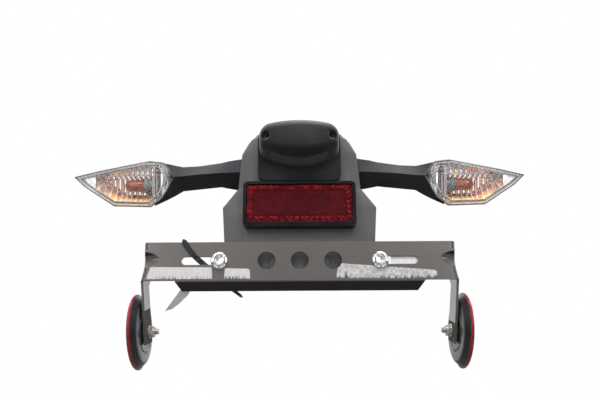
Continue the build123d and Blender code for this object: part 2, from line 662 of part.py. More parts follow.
# the leg hangs under the bent end: a flat foot that carries the side reflector, and a strip that
# runs from the foot up to the lower edge of the bend
leg_top_z = -PLATE_DOWN * UP
leg_lean = (HALF_LOW - LEG_LOW_HALF) / (leg_top_z - LEG_LOW_Z)
leg_along = Vector(-sin(radians(LEG_YAW)), cos(radians(LEG_YAW)), 0)
leg_out = leg_along.cross(Vector(leg_lean, 0, 1))
leg_plane = Plane(origin=(LEG_LOW_HALF, LEG_LOW_Y, LEG_LOW_Z), x_dir=leg_along, z_dir=leg_out)
foot_tall = 2 * DISC_RISE
foot_face = poly([(LEG_IN, 0), (LEG_W, 0), (LEG_W, foot_tall), (LEG_IN, foot_tall)])
foot = leg_plane * slab(foot_face, -SHEET, 0)
foot_top = Plane(
    origin=leg_plane.origin + leg_plane.y_dir * foot_tall, x_dir=leg_along, z_dir=leg_plane.y_dir
) * poly([(LEG_IN, 0), (LEG_W, 0), (LEG_W, SHEET), (LEG_IN, SHEET)])
bend_x = HALF_LOW - SHEET / 2
turn_sin = sin(radians(LEG_YAW))
turn_cos = cos(radians(LEG_YAW))
bend_end = [
    (bend_x - run * turn_sin + side * turn_cos * SHEET / 2, -run * turn_cos - side * turn_sin * SHEET / 2)
    for run, side in [(LEG_IN, 1), (LEG_W, 1), (LEG_W, -1), (LEG_IN, -1)]
]
bend_low = TILT * (Plane(origin=(0, -PLATE_DOWN, 0), x_dir=(1, 0, 0), z_dir=(0, -1, 0)) * poly(bend_end))
leg = foot + loft([foot_top, bend_low], ruled=True)
disc_axis = leg_plane * Pos((LEG_W + LEG_IN) / 2, DISC_RISE, 0)
leg -= disc_axis * rod(0, 0, -2 * SHEET, SHEET, DISC_STUD_D / 2 + SLIDE)
bracket = bracket + leg + flip(leg)
save("plate_bracket", bracket)

# side reflectors
rim_low = CUP_PAD + CUP_STEP
rim_high = rim_low + CUP_RIM
disc_stud = rod(0, 0, -DISC_STUD_IN, DISC_STUD_OUT, DISC_STUD_D / 2)
disc_cup = rod(0, 0, 0, CUP_PAD, CUP_PAD_R) + rod(0, 0, CUP_PAD, rim_low, CUP_STEP_R)
disc_cup = disc_cup + rod(0, 0, rim_low, rim_high, CUP_R) - disc_stud
disc_lens = chamfer(
    rod(0, 0, rim_high, rim_high + DISC_LENS, DISC_R).faces().sort_by(Axis.Z)[-1].edges(), DISC_EDGE
)
washer_low = -SHEET - DISC_WASHER_H
disc_washer = rod(0, 0, washer_low, -SHEET, DISC_WASHER_R) - disc_stud
disc_nut = hexbar(0, 0, washer_low - DISC_NUT_H, washer_low, DISC_NUT_AF) - disc_stud
disc_pieces = {"cup": disc_cup, "lens": disc_lens, "stud": disc_stud, "washer": disc_washer, "nut": disc_nut}
for name, piece in disc_pieces.items():
    save(f"right_side_reflector_{name}", disc_axis * piece)
    save(f"left_side_reflector_{name}", flip(disc_axis * piece))

# bracket studs, spacers and nuts
stud_low = FACE - WALL - STUD_NUT_H - STUD_OVER
bracket_studs = [rod(side * STUD_X, STUD_Y, stud_low, -SHEET / 2, STUD_D / 2) for side in (1, -1)]
bracket_spacers = [rod(side * STUD_X, STUD_Y, FACE, -SHEET / 2, SPACER_R) for side in (1, -1)]
stud_nut_low = stud_low + STUD_OVER
bracket_nuts = [hexbar(side * STUD_X, STUD_Y, stud_nut_low, FACE - WALL, STUD_NUT_AF) for side in (1, -1)]
save("bracket_studs", *[TILT * stud for stud in bracket_studs])
save("bracket_spacers", *[TILT * (spacer - stud) for spacer, stud in zip(bracket_spacers, bracket_studs)])
save("bracket_nuts", *[TILT * (nut - stud) for nut, stud in zip(bracket_nuts, bracket_studs)])

# number plate bolts and nuts
plate_front = SHEET / 2
bolt_shank = rod(BOLT_X, 0, plate_front - BOLT_LONG, plate_front, BOLT_D / 2)
bolt = bolt_shank + rod(BOLT_X, 0, plate_front, plate_front + BOLT_FLANGE_H, BOLT_FLANGE_R)
bolt += hexbar(BOLT_X, 0, plate_front + BOLT_FLANGE_H, plate_front + BOLT_HEAD_H, BOLT_AF)
bolt -= rod(BOLT_X, 0, plate_front + BOLT_HEAD_H - BOLT_DISH, plate_front + BOLT_HEAD_H, BOLT_DISH_R)
bolt_nut = rod(BOLT_X, 0, -plate_front - NUT_FLANGE_H, -plate_front, NUT_FLANGE_R)
bolt_nut += hexbar(BOLT_X, 0, -plate_front - NUT_H, -plate_front - NUT_FLANGE_H, BOLT_AF)
bolt_nut -= bolt_shank
save("plate_bolts", TILT * bolt, flip(TILT * bolt))
save("plate_nuts", TILT * bolt_nut, flip(TILT * bolt_nut))

# cable tie through the left slot, tape on the front of the bracket, and the loose strip under the lip
tie_sections = []
for count, (x, y, z, wide) in enumerate(TIE_PATH):
    before = TIE_PATH[max(count - 1, 0)]
    after = TIE_PATH[min(count + 1, len(TIE_PATH) - 1)]
    ahead = Vector(after[0] - before[0], after[1] - before[1], 0)
    tie_plane = Plane(origin=(x, y, z), x_dir=Vector(-ahead.Y, ahead.X, 0), z_dir=ahead)
    tie_sections.append(tie_plane * Rectangle(wide, TIE_T))
save("cable_tie", TILT * loft(tie_sections, ruled=True))

tape_front = plate_front + TAPE_T
keep_off = [rod(side * BOLT_X, 0, -SHEET, SHEET + BOLT_HEAD_H, BOLT_FLANGE_R + FIT) for side in (1, -1)]
keep_off.append(rod(HOLE_PITCH, 0, -SHEET, SHEET + BOLT_HEAD_H, HOLE_R))
tapes = {"left_tape_long": TAPE_LONG, "left_tape_short": TAPE_SHORT, "right_tape": TAPE_RIGHT}
for name, outline in tapes.items():
    tape = slab(poly(outline), plate_front, tape_front)
    for space in keep_off:
        tape -= space
    save(name, TILT * tape)
save("right_tape_back", TILT * slab(poly(TAPE_BACK), -plate_front - TAPE_T, -plate_front))

lip_back = Plane(
    origin=(0, -PLATE_DOWN, 0), x_dir=(1, 0, 0), z_dir=(0, sin(lip_turn), -cos(lip_turn))
)
strip = lip_back * slab(poly(STRIP), SHEET / 2, SHEET / 2 + STRIP_T)
save("loose_strip", TILT * strip)
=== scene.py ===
"""Looks of a motorbike tail tidy: body shell, plate lamp, reflectors, turn signals and plate bracket."""

import logging
import math
import random
from dataclasses import dataclass
from enum import Enum
from typing import Callable, Mapping, Sequence

import bmesh
import bpy
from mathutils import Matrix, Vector


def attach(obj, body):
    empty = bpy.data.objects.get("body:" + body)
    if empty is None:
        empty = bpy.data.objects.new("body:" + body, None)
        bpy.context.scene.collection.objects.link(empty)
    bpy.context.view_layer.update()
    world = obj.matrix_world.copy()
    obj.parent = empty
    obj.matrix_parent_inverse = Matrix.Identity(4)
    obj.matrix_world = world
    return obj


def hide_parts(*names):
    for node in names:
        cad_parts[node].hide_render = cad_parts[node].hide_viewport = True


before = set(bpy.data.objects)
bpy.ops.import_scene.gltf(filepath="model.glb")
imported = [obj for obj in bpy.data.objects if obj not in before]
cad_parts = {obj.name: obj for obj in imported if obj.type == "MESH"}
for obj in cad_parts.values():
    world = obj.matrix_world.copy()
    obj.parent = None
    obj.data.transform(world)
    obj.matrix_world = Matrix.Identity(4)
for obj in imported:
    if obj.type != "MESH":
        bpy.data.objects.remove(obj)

LOG = logging.getLogger("tail_tidy")
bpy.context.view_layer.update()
ROOT = "root"
MM = 0.001

# the rear face leans by this angle, and the bracket's centre lies here from the mount plate's centre
PLATE_TILT = math.radians(17.0)
UP = math.cos(PLATE_TILT)
LEAN = math.sin(PLATE_TILT)
BRACKET_BACK = -80.0
BRACKET_DOWN = -100.647
FACE_RISE = Vector((0.0, LEAN, UP))
FACE_OUT = Vector((0.0, -UP, LEAN))

Colour = tuple[float, float, float]
Point = tuple[float, float, float]
Range = tuple[float, float]
Outline = Sequence[tuple[float, float]]
Profile = Sequence[tuple[float, ...]]
Mesh = bmesh.types.BMesh
Rows = Sequence[Sequence[bmesh.types.BMVert]]
Socket = bpy.types.NodeSocket
Sockets = Mapping[str, Socket]


def on_bike(x: float, y: float, z: float) -> Vector:
    """A point given in millimetres about the bracket's centre.

    Args:
        x: Distance to the right.
        y: Distance forward.
        z: Height.

    Returns:
        The point in metres, from the mount plate's centre.
    """
    return Vector((x * MM, (y + BRACKET_BACK) * MM, (z + BRACKET_DOWN) * MM))


def on_face(x: float, rise: float, out: float) -> Vector:
    """A point given in millimetres on the leaning rear face.

    Args:
        x: Distance to the right.
        rise: Distance up the face from the bracket's centre.
        out: Distance out of the face.

    Returns:
        The point in metres, from the mount plate's centre.
    """
    return on_bike(x, rise * LEAN - out * UP, rise * UP + out * LEAN)


class Side(Enum):
    """The two sides of the bike, by the sign of x."""

    LEFT = -1
    RIGHT = 1

    @property
    def word(self) -> str:
        """The side's name as the nodes spell it."""
        return self.name.lower()


class Graph:
    """A node tree with short ways to add and join nodes."""

    def __init__(self, tree: bpy.types.NodeTree) -> None:
        """Start on a tree and empty it.

        Args:
            tree: The tree to fill.
        """
        self.tree = tree
        self.tree.nodes.clear()

    def add(
        self, kind: str, inputs: Mapping[str | int, object] | None = None, **settings: object
    ) -> bpy.types.Node:
        """Add a node.

        Args:
            kind: The node's type name.
            inputs: A value, or a socket to join, for each input.
            settings: Properties of the node itself.

        Returns:
            The new node.
        """
        made = self.tree.nodes.new(kind)
        for key, value in settings.items():
            setattr(made, key, value)
        for key, value in (inputs or {}).items():
            self.put(made.inputs[key], value)
        return made

    def put(self, socket: Socket, value: object) -> None:
        """Join a socket to an input, or set the input's value.

        Args:
            socket: The input.
            value: Another node's output, or a plain value.
        """
        if isinstance(value, Socket):
            self.tree.links.new(value, socket)
        elif isinstance(value, tuple) and len(value) == 3 and socket.type == "RGBA":
            socket.default_value = (*value, 1.0)
        else:
            socket.default_value = value

    def maths(self, action: str, first: object, second: object = 0.0, clamp: bool = False) -> Socket:
        """Work out one sum.

        Args:
            action: The sum's name, such as MAXIMUM.
            first: The first number or socket.
            second: The second number or socket.
            clamp: Whether the result is held between 0 and 1.

        Returns:
            The result's socket.
        """
        node = self.add("ShaderNodeMath", {0: first, 1: second}, operation=action, use_clamp=clamp)
        return node.outputs[0]

    def times(self, first: object, second: object, clamp: bool = False) -> Socket:
        """One value times another, held between 0 and 1 if clamp is set."""
        return self.maths("MULTIPLY", first, second, clamp)

    def spread(
        self, value: object, low: object, high: object, to_low: float = 0.0, to_high: float = 1.0
    ) -> Socket:
        """Stretch a range of values over another, smoothly and with its ends held.

        Args:
            value: The socket to stretch.
            low: Where the range starts.
            high: Where the range ends.
            to_low: The result at its start.
            to_high: The result at its end.

        Returns:
            The result's socket.
        """
        node = self.add(
            "ShaderNodeMapRange",
            {"Value": value, "From Min": low, "From Max": high, "To Min": to_low, "To Max": to_high},
            interpolation_type="SMOOTHSTEP",
        )
        return node.outputs["Result"]

    def fade(self, share: Socket, start: float, end: float) -> Socket:
        """A value that goes from a start to an end while a share goes from 0 to 1."""
        return self.spread(share, 0.0, 1.0, start, end)

    def blend(self, share: object, first: object, second: object) -> Socket:
        """Mix two colours.

        Args:
            share: How much of the second colour shows.
            first: The first colour or socket.
            second: The second colour or socket.

        Returns:
            The mixed colour's socket.
        """
        # a mix node has its share first, its two colours as inputs 6 and 7, and its colour as output 2
        return self.add("ShaderNodeMix", {0: share, 6: first, 7: second}, data_type="RGBA").outputs[2]

    def place(self) -> Socket:
        """Where a point lies, in metres from its object's origin."""
        return self.add("ShaderNodeTexCoord").outputs["Object"]

    def facing(self) -> Sockets:
        """The direction that the surface faces, as X, Y and Z."""
        return self.axes(self.add("ShaderNodeNewGeometry").outputs["Normal"])

    def axes(self, vector: Socket) -> Sockets:
        """The X, Y and Z of a vector."""
        return self.add("ShaderNodeSeparateXYZ", {0: vector}).outputs

    def noise(self, vector: Socket, scale: object, detail: float) -> Socket:
        """The height of soft noise at a point, with finer detail for a larger number."""
        return self.add("ShaderNodeTexNoise", {"Vector": vector, "Scale": scale, "Detail": detail}).outputs[0]

    def lot(self, first: Socket, second: object = 0.0) -> Socket:
        """A number from 0 to 1 that falls at random for each pair of values."""
        pair = self.add("ShaderNodeCombineXYZ", {"X": first, "Y": second}).outputs[0]
        return self.add("ShaderNodeTexWhiteNoise", {"Vector": pair}).outputs["Value"]


class Effect(Enum):
    """Surface effects that several finishes share, each a node group made once."""

    GRAIN = "mould grain"
    WEAR_AND_HIGHLIGHT = "edge wear"
    DUST = "settled dust"
    STREAKS = "drawn streaks"
    PIMPLES = "cast orange peel"


# the part of a noise's heights that each effect stretches over its whole range
GRAIN_HEIGHTS = (0.3, 0.7)
BREAK_HEIGHTS = (0.4, 0.6)
SPECK_HEIGHTS = (0.5, 0.75)
WAVE_HEIGHTS = (0.35, 0.65)
# what is left of wear with its painted edge highlight, and of dust, where their noise is low
LEAST_WEAR_AND_HIGHLIGHT = 0.2
LEAST_DUST = 0.1
# dust lies on surfaces that face up by this much
DUST_SLOPES = (0.1, 0.95)
# the rounding in metres that shows where an edge is
EDGE_RADIUS = 0.001


def fill_grain(graph: Graph, ins: Sockets) -> Sockets:
    """Fine moulded texture with a slow change of tone.

    Args:
        graph: The group's tree.
        ins: The group's inputs.

    Returns:
        The group's outputs.
    """
    place = graph.place()
    cells = graph.add("ShaderNodeTexVoronoi", {"Vector": place, "Scale": ins["Scale"]})
    height = graph.maths("ADD", graph.noise(place, ins["Scale"], detail=4.0), cells.outputs["Distance"])
    patches = graph.noise(place, ins["Patch"], detail=3.0)
    return {"Height": height, "Tone": graph.spread(patches, *GRAIN_HEIGHTS)}


def fill_wear_and_highlight(graph: Graph, ins: Sockets) -> Sockets:
    """Edges that stand proud, as rubbed wear that also paints a highlight on them, broken up by noise.

    Args:
        graph: The group's tree.
        ins: The group's inputs.

    Returns:
        The group's outputs.
    """
    plain = graph.add("ShaderNodeNewGeometry").outputs["Normal"]
    eased = graph.add("ShaderNodeBevel", {"Radius": EDGE_RADIUS}, samples=6).outputs["Normal"]
    turn = graph.add("ShaderNodeVectorMath", {0: plain, 1: eased}, operation="DOT_PRODUCT").outputs["Value"]
    # edges found by the rounded normal: lightened as wear and as a painted highlight
    edge = graph.spread(graph.maths("SUBTRACT", 1.0, turn), ins["Start"], ins["End"])
    breaks = graph.noise(graph.place(), ins["Break"], detail=5.0)
    broken = graph.spread(breaks, *BREAK_HEIGHTS, LEAST_WEAR_AND_HIGHLIGHT)
    return {"Mask": graph.times(edge, broken, clamp=True)}


def fill_dust(graph: Graph, ins: Sockets) -> Sockets:
    """Specks that lie on surfaces facing up.

    Args:
        graph: The group's tree.
        ins: The group's inputs.

    Returns:
        The group's outputs.
    """
    lying = graph.spread(graph.facing()["Z"], *DUST_SLOPES)
    specks = graph.noise(graph.place(), ins["Scale"], detail=6.0)
    fine = graph.spread(specks, *SPECK_HEIGHTS, LEAST_DUST)
    return {"Mask": graph.times(graph.times(lying, fine), ins["Amount"], clamp=True)}


def fill_streaks(graph: Graph, ins: Sockets) -> Sockets:
    """Noise drawn out up the piece, as on torn paper or brushed metal.

    Args:
        graph: The group's tree.
        ins: The group's inputs.

    Returns:
        The group's outputs.
    """
    ways = graph.axes(graph.place())
    across = graph.times(ways["X"], ins["Fine"])
    along = graph.times(ways["Z"], ins["Long"])
    drawn = graph.add("ShaderNodeCombineXYZ", {0: across, 1: along}).outputs[0]
    lines = graph.noise(drawn, 1.0, detail=3.0)
    return {"Height": lines, "Tone": graph.spread(lines, *GRAIN_HEIGHTS)}


def fill_pimples(graph: Graph, ins: Sockets) -> Sockets:
    """The soft waviness of sprayed paint.

    Args:
        graph: The group's tree.
        ins: The group's inputs.

    Returns:
        The group's outputs.
    """
    waves = graph.noise(graph.place(), ins["Scale"], detail=1.5)
    return {"Height": waves, "Tone": graph.spread(waves, *WAVE_HEIGHTS)}


@dataclass(frozen=True)
class EffectPlan:
    """The node group of an effect: its inputs with their usual values, its outputs and its filling."""

    inputs: dict[str, float]
    outputs: tuple[str, ...]
    fill: Callable[[Graph, Sockets], Sockets]


EFFECT_PLANS: dict[Effect, EffectPlan] = {
    Effect.GRAIN: EffectPlan({"Scale": 900.0, "Patch": 30.0}, ("Height", "Tone"), fill_grain),
    Effect.WEAR_AND_HIGHLIGHT: EffectPlan({"Start": 0.03, "End": 0.2, "Break": 220.0}, ("Mask",), fill_wear_and_highlight),
    Effect.DUST: EffectPlan({"Scale": 500.0, "Amount": 0.5}, ("Mask",), fill_dust),
    Effect.STREAKS: EffectPlan({"Fine": 700.0, "Long": 40.0}, ("Height", "Tone"), fill_streaks),
    Effect.PIMPLES: EffectPlan({"Scale": 260.0}, ("Height", "Tone"), fill_pimples),
}


def effect_group(effect: Effect) -> bpy.types.NodeTree:
    """The shader node group of an effect, made on first use.

    Args:
        effect: Which effect.

    Returns:
        The node group.
    """
    made = bpy.data.node_groups.get(effect.value)
    if made:
        return made
    made = bpy.data.node_groups.new(effect.value, "ShaderNodeTree")
    plan = EFFECT_PLANS[effect]
    for name, value in plan.inputs.items():
        made.interface.new_socket(name, in_out="INPUT", socket_type="NodeSocketFloat").default_value = value
    for name in plan.outputs:
        made.interface.new_socket(name, in_out="OUTPUT", socket_type="NodeSocketFloat")
    graph = Graph(made)
    graph.add("NodeGroupOutput", plan.fill(graph, graph.add("NodeGroupInput").outputs))
    return made


class Skin(Graph):
    """A material's node tree, with its shader and the ways finishes vary it."""

    def __init__(self, tree: bpy.types.NodeTree, plain: Mapping[str, object]) -> None:
        """Start with the shader at its plain values.

        Args:
            tree: The material's tree.
            plain: A value for each input of the shader that is not left alone.
        """
        super().__init__(tree)
        self.shader = self.add("ShaderNodeBsdfPrincipled", plain)
        self.add("ShaderNodeOutputMaterial", {"Surface": self.shader.outputs[0]})

    def drive(self, name: str, value: object) -> None:
        """Let a socket or a plain value set one of the shader's inputs."""
        self.put(self.shader.inputs[name], value)

    def driven(self, name: str) -> Socket:
        """The socket that sets one of the shader's inputs."""
        return self.shader.inputs[name].links[0].from_socket

    def effect(self, effect: Effect, **values: float) -> Sockets:
        """The outputs of a shared effect, with its inputs set to the values given."""
        return self.add("ShaderNodeGroup", values, node_tree=effect_group(effect)).outputs

    def bump(self, height: Socket, depth: float) -> None:
        """Let a height roughen the surface.

        Args:
            height: The height's socket.
            depth: How deep the height reaches, in metres.
        """
        relief = self.add("ShaderNodeBump", {"Height": height, "Distance": depth, "Strength": 1.0})
        self.drive("Normal", relief.outputs[0])

    def weathered_and_highlit(self, base: Socket, wear_and_highlight: float, bare_and_highlight: Colour, dust: float, dirt: Colour) -> Socket:
        """A colour with rubbed edges that also carry a painted highlight, and with dust on what faces up.

        Args:
            base: The colour while new.
            wear_and_highlight: How much the edges are rubbed and lightened by a painted highlight.
            bare_and_highlight: The colour of rubbed edges, with their painted highlight.
            dust: How much dust lies on it.
            dirt: The dust's colour.

        Returns:
            The weathered colour's socket.
        """
        # rubbed edges take a lighter colour: wear and a painted edge highlight together
        worn_and_highlit = self.blend(self.times(self.effect(Effect.WEAR_AND_HIGHLIGHT)["Mask"], wear_and_highlight), base, bare_and_highlight)
        return self.blend(self.effect(Effect.DUST, Amount=dust)["Mask"], worn_and_highlit, dirt)


def shade(colour: Colour, share: float) -> Colour:
    """The colour made darker or lighter by a share."""
    return (colour[0] * share, colour[1] * share, colour[2] * share)


@dataclass(frozen=True)
class Finish:
    """A surface finish: the shader's plain values and how its nodes vary them. Lengths are in metres."""

    name: str
    colour: Colour
    roughness: float = 0.5
    metallic: float = 0.0
    specular: float = 0.5
    coat: float = 0.0
    coat_roughness: float = 0.05
    sheen: float = 0.0

    def material(self) -> bpy.types.Material:
        """The finish's material, made on first use.

        Returns:
            The material.
        """
        own_name = f"dressed_{self.name}"
        made = bpy.data.materials.get(own_name)
        if made is None:
            made = bpy.data.materials.new(own_name)
            made.use_nodes = True
            made.diffuse_color = (*self.colour, 1.0)
            plain = {
                "Base Color": self.colour, "Roughness": self.roughness, "Metallic": self.metallic,
                "Specular IOR Level": self.specular, "Coat Weight": self.coat,
                "Coat Roughness": self.coat_roughness, "Sheen Weight": self.sheen,
            }
            self.paint(Skin(made.node_tree, plain))
        return made

    def paint(self, skin: Skin) -> None:
        """Add the nodes that vary the surface.

        Args:
            skin: The material's nodes.
        """
        raise NotImplementedError


@dataclass(frozen=True)
class PlasticFinish(Finish):
    """Moulded plastic or rubber with fine grain, rubbed edges with a painted highlight, and a little dust."""

    grain: float = 900.0
    grain_depth: float = 0.00004
    patch: float = 28.0
    spread: float = 0.22
    gloss_spread: float = 0.06
    # rubbed edges, lightened as wear and as a painted highlight
    wear_and_highlight: float = 0.35
    wear_and_highlight_colour: Colour = (0.24, 0.235, 0.23)
    dust: float = 0.12
    dust_colour: Colour = (0.30, 0.29, 0.28)

    def paint(self, skin: Skin) -> None:
        """Vary tone and gloss with the grain, lighten edges as wear and a painted highlight, and add dust.

        Args:
            skin: The material's nodes.
        """
        grain = skin.effect(Effect.GRAIN, Scale=self.grain, Patch=self.patch)
        dark, light = shade(self.colour, 1 - self.spread), shade(self.colour, 1 + self.spread)
        base = skin.blend(grain["Tone"], dark, light)
        worn_and_highlit = skin.weathered_and_highlit(base, self.wear_and_highlight, self.wear_and_highlight_colour, self.dust, self.dust_colour)
        skin.drive("Base Color", worn_and_highlit)
        dull, bright = self.roughness + self.gloss_spread, self.roughness - self.gloss_spread
        skin.drive("Roughness", skin.fade(grain["Tone"], dull, bright))
        skin.bump(grain["Height"], self.grain_depth)


@dataclass(frozen=True)
class PaintFinish(Finish):
    """Sprayed paint on steel, with soft waves, bare edges with a painted highlight, painted shade on its
    undersides and dull feet below a height on each side.
    """

    waves: float = 240.0
    wave_depth: float = 0.00003
    grain: float = 1500.0
    patch: float = 22.0
    spread: float = 0.12
    gloss_spread: float = 0.04
    # bare steel at rubbed edges, lighter also as a painted edge highlight
    bare_and_highlight: Colour = (0.30, 0.29, 0.28)
    wear_and_highlight: float = 0.35
    dust: float = 0.1
    dust_colour: Colour = (0.28, 0.27, 0.26)
    # painted shade: the dark colour that faces turned downwards take, and the slopes over which it fades in
    under: Colour = (0.009, 0.0095, 0.012)
    painted_shade_slopes: Range = (-0.42, -0.15)
    # the feet are dull below these heights on the left and right, which change over across the middle
    dull_below: Range = (-1.0, -1.0)
    dull_edge: float = 0.0004
    dull_more: float = 0.4
    middle_half: float = 0.01

    def paint(self, skin: Skin) -> None:
        """Vary the paint, paint shade on its undersides, show steel and a painted highlight at rubbed edges
        and dull the feet.

        Args:
            skin: The material's nodes.
        """
        waves = skin.effect(Effect.PIMPLES, Scale=self.waves)
        tone = skin.effect(Effect.GRAIN, Scale=self.grain, Patch=self.patch)["Tone"]
        base = skin.blend(tone, shade(self.colour, 1 - self.spread), shade(self.colour, 1 + self.spread))
        # painted shade on faces that turn downwards
        lit = skin.spread(skin.facing()["Z"], *self.painted_shade_slopes)
        base = skin.blend(lit, self.under, base)
        gloss = skin.maths("MINIMUM", self.shine(skin), lit)
        skin.drive("Coat Weight", skin.times(gloss, self.coat))
        worn_and_highlit = skin.weathered_and_highlit(base, self.wear_and_highlight, self.bare_and_highlight, self.dust, self.dust_colour)
        skin.drive("Base Color", worn_and_highlit)
        rough = skin.fade(tone, self.roughness + self.gloss_spread, self.roughness - self.gloss_spread)
        skin.drive("Roughness", skin.maths("ADD", rough, skin.fade(gloss, self.dull_more, 0.0)))
        skin.bump(waves["Height"], self.wave_depth)

    def shine(self, skin: Skin) -> Socket:
        """Where the paint is still glossy: above its own height on each side.

        Args:
            skin: The material's nodes.

        Returns:
            The share of gloss left.
        """
        ways = skin.axes(skin.place())
        level = skin.spread(ways["X"], -self.middle_half, self.middle_half, *self.dull_below)
        above = skin.maths("SUBTRACT", ways["Z"], level)
        return skin.spread(above, -self.dull_edge, self.dull_edge)


@dataclass(frozen=True)
class MetalFinish(Finish):
    """Plated metal with drawn lines and slightly cloudy gloss."""

    metallic: float = 1.0
    lines: float = 1400.0
    line_long: float = 90.0
    line_depth: float = 0.00001
    grain: float = 1200.0
    patch: float = 160.0
    cloud: float = 0.14
    dull_more: float = 0.07
    dull_less: float = 0.04

    def paint(self, skin: Skin) -> None:
        """Cloud the plating and draw fine lines on it.

        Args:
            skin: The material's nodes.
        """
        streaks = skin.effect(Effect.STREAKS, Fine=self.lines, Long=self.line_long)
        tone = skin.effect(Effect.GRAIN, Scale=self.grain, Patch=self.patch)["Tone"]
        skin.drive("Base Color", skin.blend(tone, shade(self.colour, 1 - self.cloud), self.colour))
        dull, bright = self.roughness + self.dull_more, self.roughness - self.dull_less
        skin.drive("Roughness", skin.fade(tone, dull, bright))
        skin.bump(streaks["Height"], self.line_depth)


@dataclass(frozen=True)
class SilverBowlFinish(MetalFinish):
    """Silvered plastic with painted reflections of the amber bulb in front of it, painted highlights on its
    ridges and painted dark reflections on its cover.
    """

    # where the bowl's cover ends and its tip begins, and where its ledge is
    cover_ends: Range = (0.122, 0.128)
    tip_starts: Range = (0.160, 0.174)
    ledge: float = -0.0315
    ledge_edge: float = 0.0006
    # painted amber reflection of the bulb along the foot and the slanting edge outside it, torn by noise
    glow: Colour = (1.0, 0.36, 0.06)
    pale_amber_reflection: Colour = (1.0, 0.66, 0.27)
    pale_heights: Range = (0.4, 0.6)
    patches: float = 300.0
    foot: float = -0.0566
    slant_foot: Range = (0.159, -0.0561)
    slant: Range = (-0.553, 0.833)
    torn: float = 0.008
    foot_ends: Range = (0.009, 0.0135)
    foot_share: float = 0.95
    # painted amber reflection of the bulb in single panes above the ledge
    pane: Range = (0.0043, 0.0036)
    pane_lots: Range = (0.6, 0.68)
    pane_share: float = 0.75
    # painted highlights on the ridges between the flutes, a faint painted warm reflection of the bulb, and
    # painted dark reflections in streaks on the cover
    crest: Colour = (1.0, 0.98, 0.96)
    crest_ends: Range = (0.0002, 0.0006)
    crest_share: float = 0.8
    warm_reflection: Colour = (0.78, 0.55, 0.48)
    warm_reflection_share: float = 0.85
    high_warm_reflection: float = 0.15
    dark_reflection: Colour = (0.13, 0.13, 0.135)
    dark_reflection_streak: float = 0.0017
    dark_reflection_lots: Range = (0.4, 0.65)
    dark_reflection_share: float = 0.9

    def paint(self, skin: Skin) -> None:
        """Plate the bowl, paint dark reflections in streaks on its cover, paint a warm and an amber
        reflection of the bulb on it, and paint highlights along its ridges.

        Args:
            skin: The material's nodes.
        """
        super().paint(skin)
        place = skin.place()
        ways = skin.axes(place)
        outward = skin.maths("ABSOLUTE", ways["X"])
        patches = skin.noise(place, self.patches, detail=2.0)
        inner = skin.spread(outward, *self.cover_ends)
        between = skin.times(inner, skin.spread(outward, *self.tip_starts, 1.0, 0.0))
        high = skin.times(skin.spread(ways["Z"], self.ledge, self.ledge + self.ledge_edge), between)
        # painted amber reflection of the bulb along the foot and in panes above the ledge
        low = skin.times(self.foot_amber_reflection(skin, outward, ways["Z"], patches), between)
        amber = skin.maths("MAXIMUM", low, skin.times(high, self.pane_amber_reflection(skin, outward, ways["Z"])))
        # painted highlights on the ridges between flutes
        beside = skin.maths("PINGPONG", outward, self.pane[0] / 2)
        ridge_highlight = skin.times(skin.spread(beside, *self.crest_ends, self.crest_share, 0.0), between)
        # painted dark reflections in streaks on the cover
        drawn = skin.lot(skin.maths("SNAP", outward, self.dark_reflection_streak))
        streaks = skin.spread(drawn, *self.dark_reflection_lots, 1.0, 0.0)
        shaded = skin.times(skin.fade(inner, self.dark_reflection_share, 0.0), streaks)
        silver = skin.blend(shaded, skin.driven("Base Color"), self.dark_reflection)
        # a faint painted warm reflection of the bulb
        share = skin.fade(high, self.warm_reflection_share, self.high_warm_reflection)
        warm = skin.blend(skin.times(between, share), silver, self.warm_reflection)
        amber_reflection_colour = skin.blend(skin.spread(patches, *self.pale_heights), self.glow, self.pale_amber_reflection)
        skin.drive("Base Color", skin.blend(ridge_highlight, skin.blend(amber, warm, amber_reflection_colour), self.crest))
        skin.drive("Metallic", skin.fade(skin.maths("MAXIMUM", amber, ridge_highlight), self.metallic, 0.0))

    def foot_amber_reflection(self, skin: Skin, outward: Socket, height: Socket, patches: Socket) -> Socket:
        """How strong the painted amber reflection of the bulb is along the bowl's foot and slanting edge.

        Args:
            skin: The material's nodes.
            outward: The distance from the bike's middle.
            height: The height.
            patches: The noise that tears the painted reflection's edge.

        Returns:
            The painted reflection's share.
        """
        above = skin.maths("SUBTRACT", height, self.foot)
        run = skin.times(skin.maths("SUBTRACT", outward, self.slant_foot[0]), self.slant[0])
        climb = skin.times(skin.maths("SUBTRACT", height, self.slant_foot[1]), self.slant[1])
        gap = skin.maths("MINIMUM", above, skin.maths("ADD", run, climb))
        torn = skin.maths("ADD", gap, skin.times(patches, self.torn))
        return skin.spread(torn, *self.foot_ends, self.foot_share, 0.0)

    def pane_amber_reflection(self, skin: Skin, outward: Socket, height: Socket) -> Socket:
        """How strong the painted amber reflection of the bulb is in each pane between two flutes and two
        shelves.

        Args:
            skin: The material's nodes.
            outward: The distance from the bike's middle.
            height: The height.

        Returns:
            The painted reflection's share.
        """
        column = skin.maths("SNAP", outward, self.pane[0])
        shelf = skin.maths("SNAP", height, self.pane[1])
        return skin.spread(skin.lot(column, shelf), *self.pane_lots, 0.0, self.pane_share)


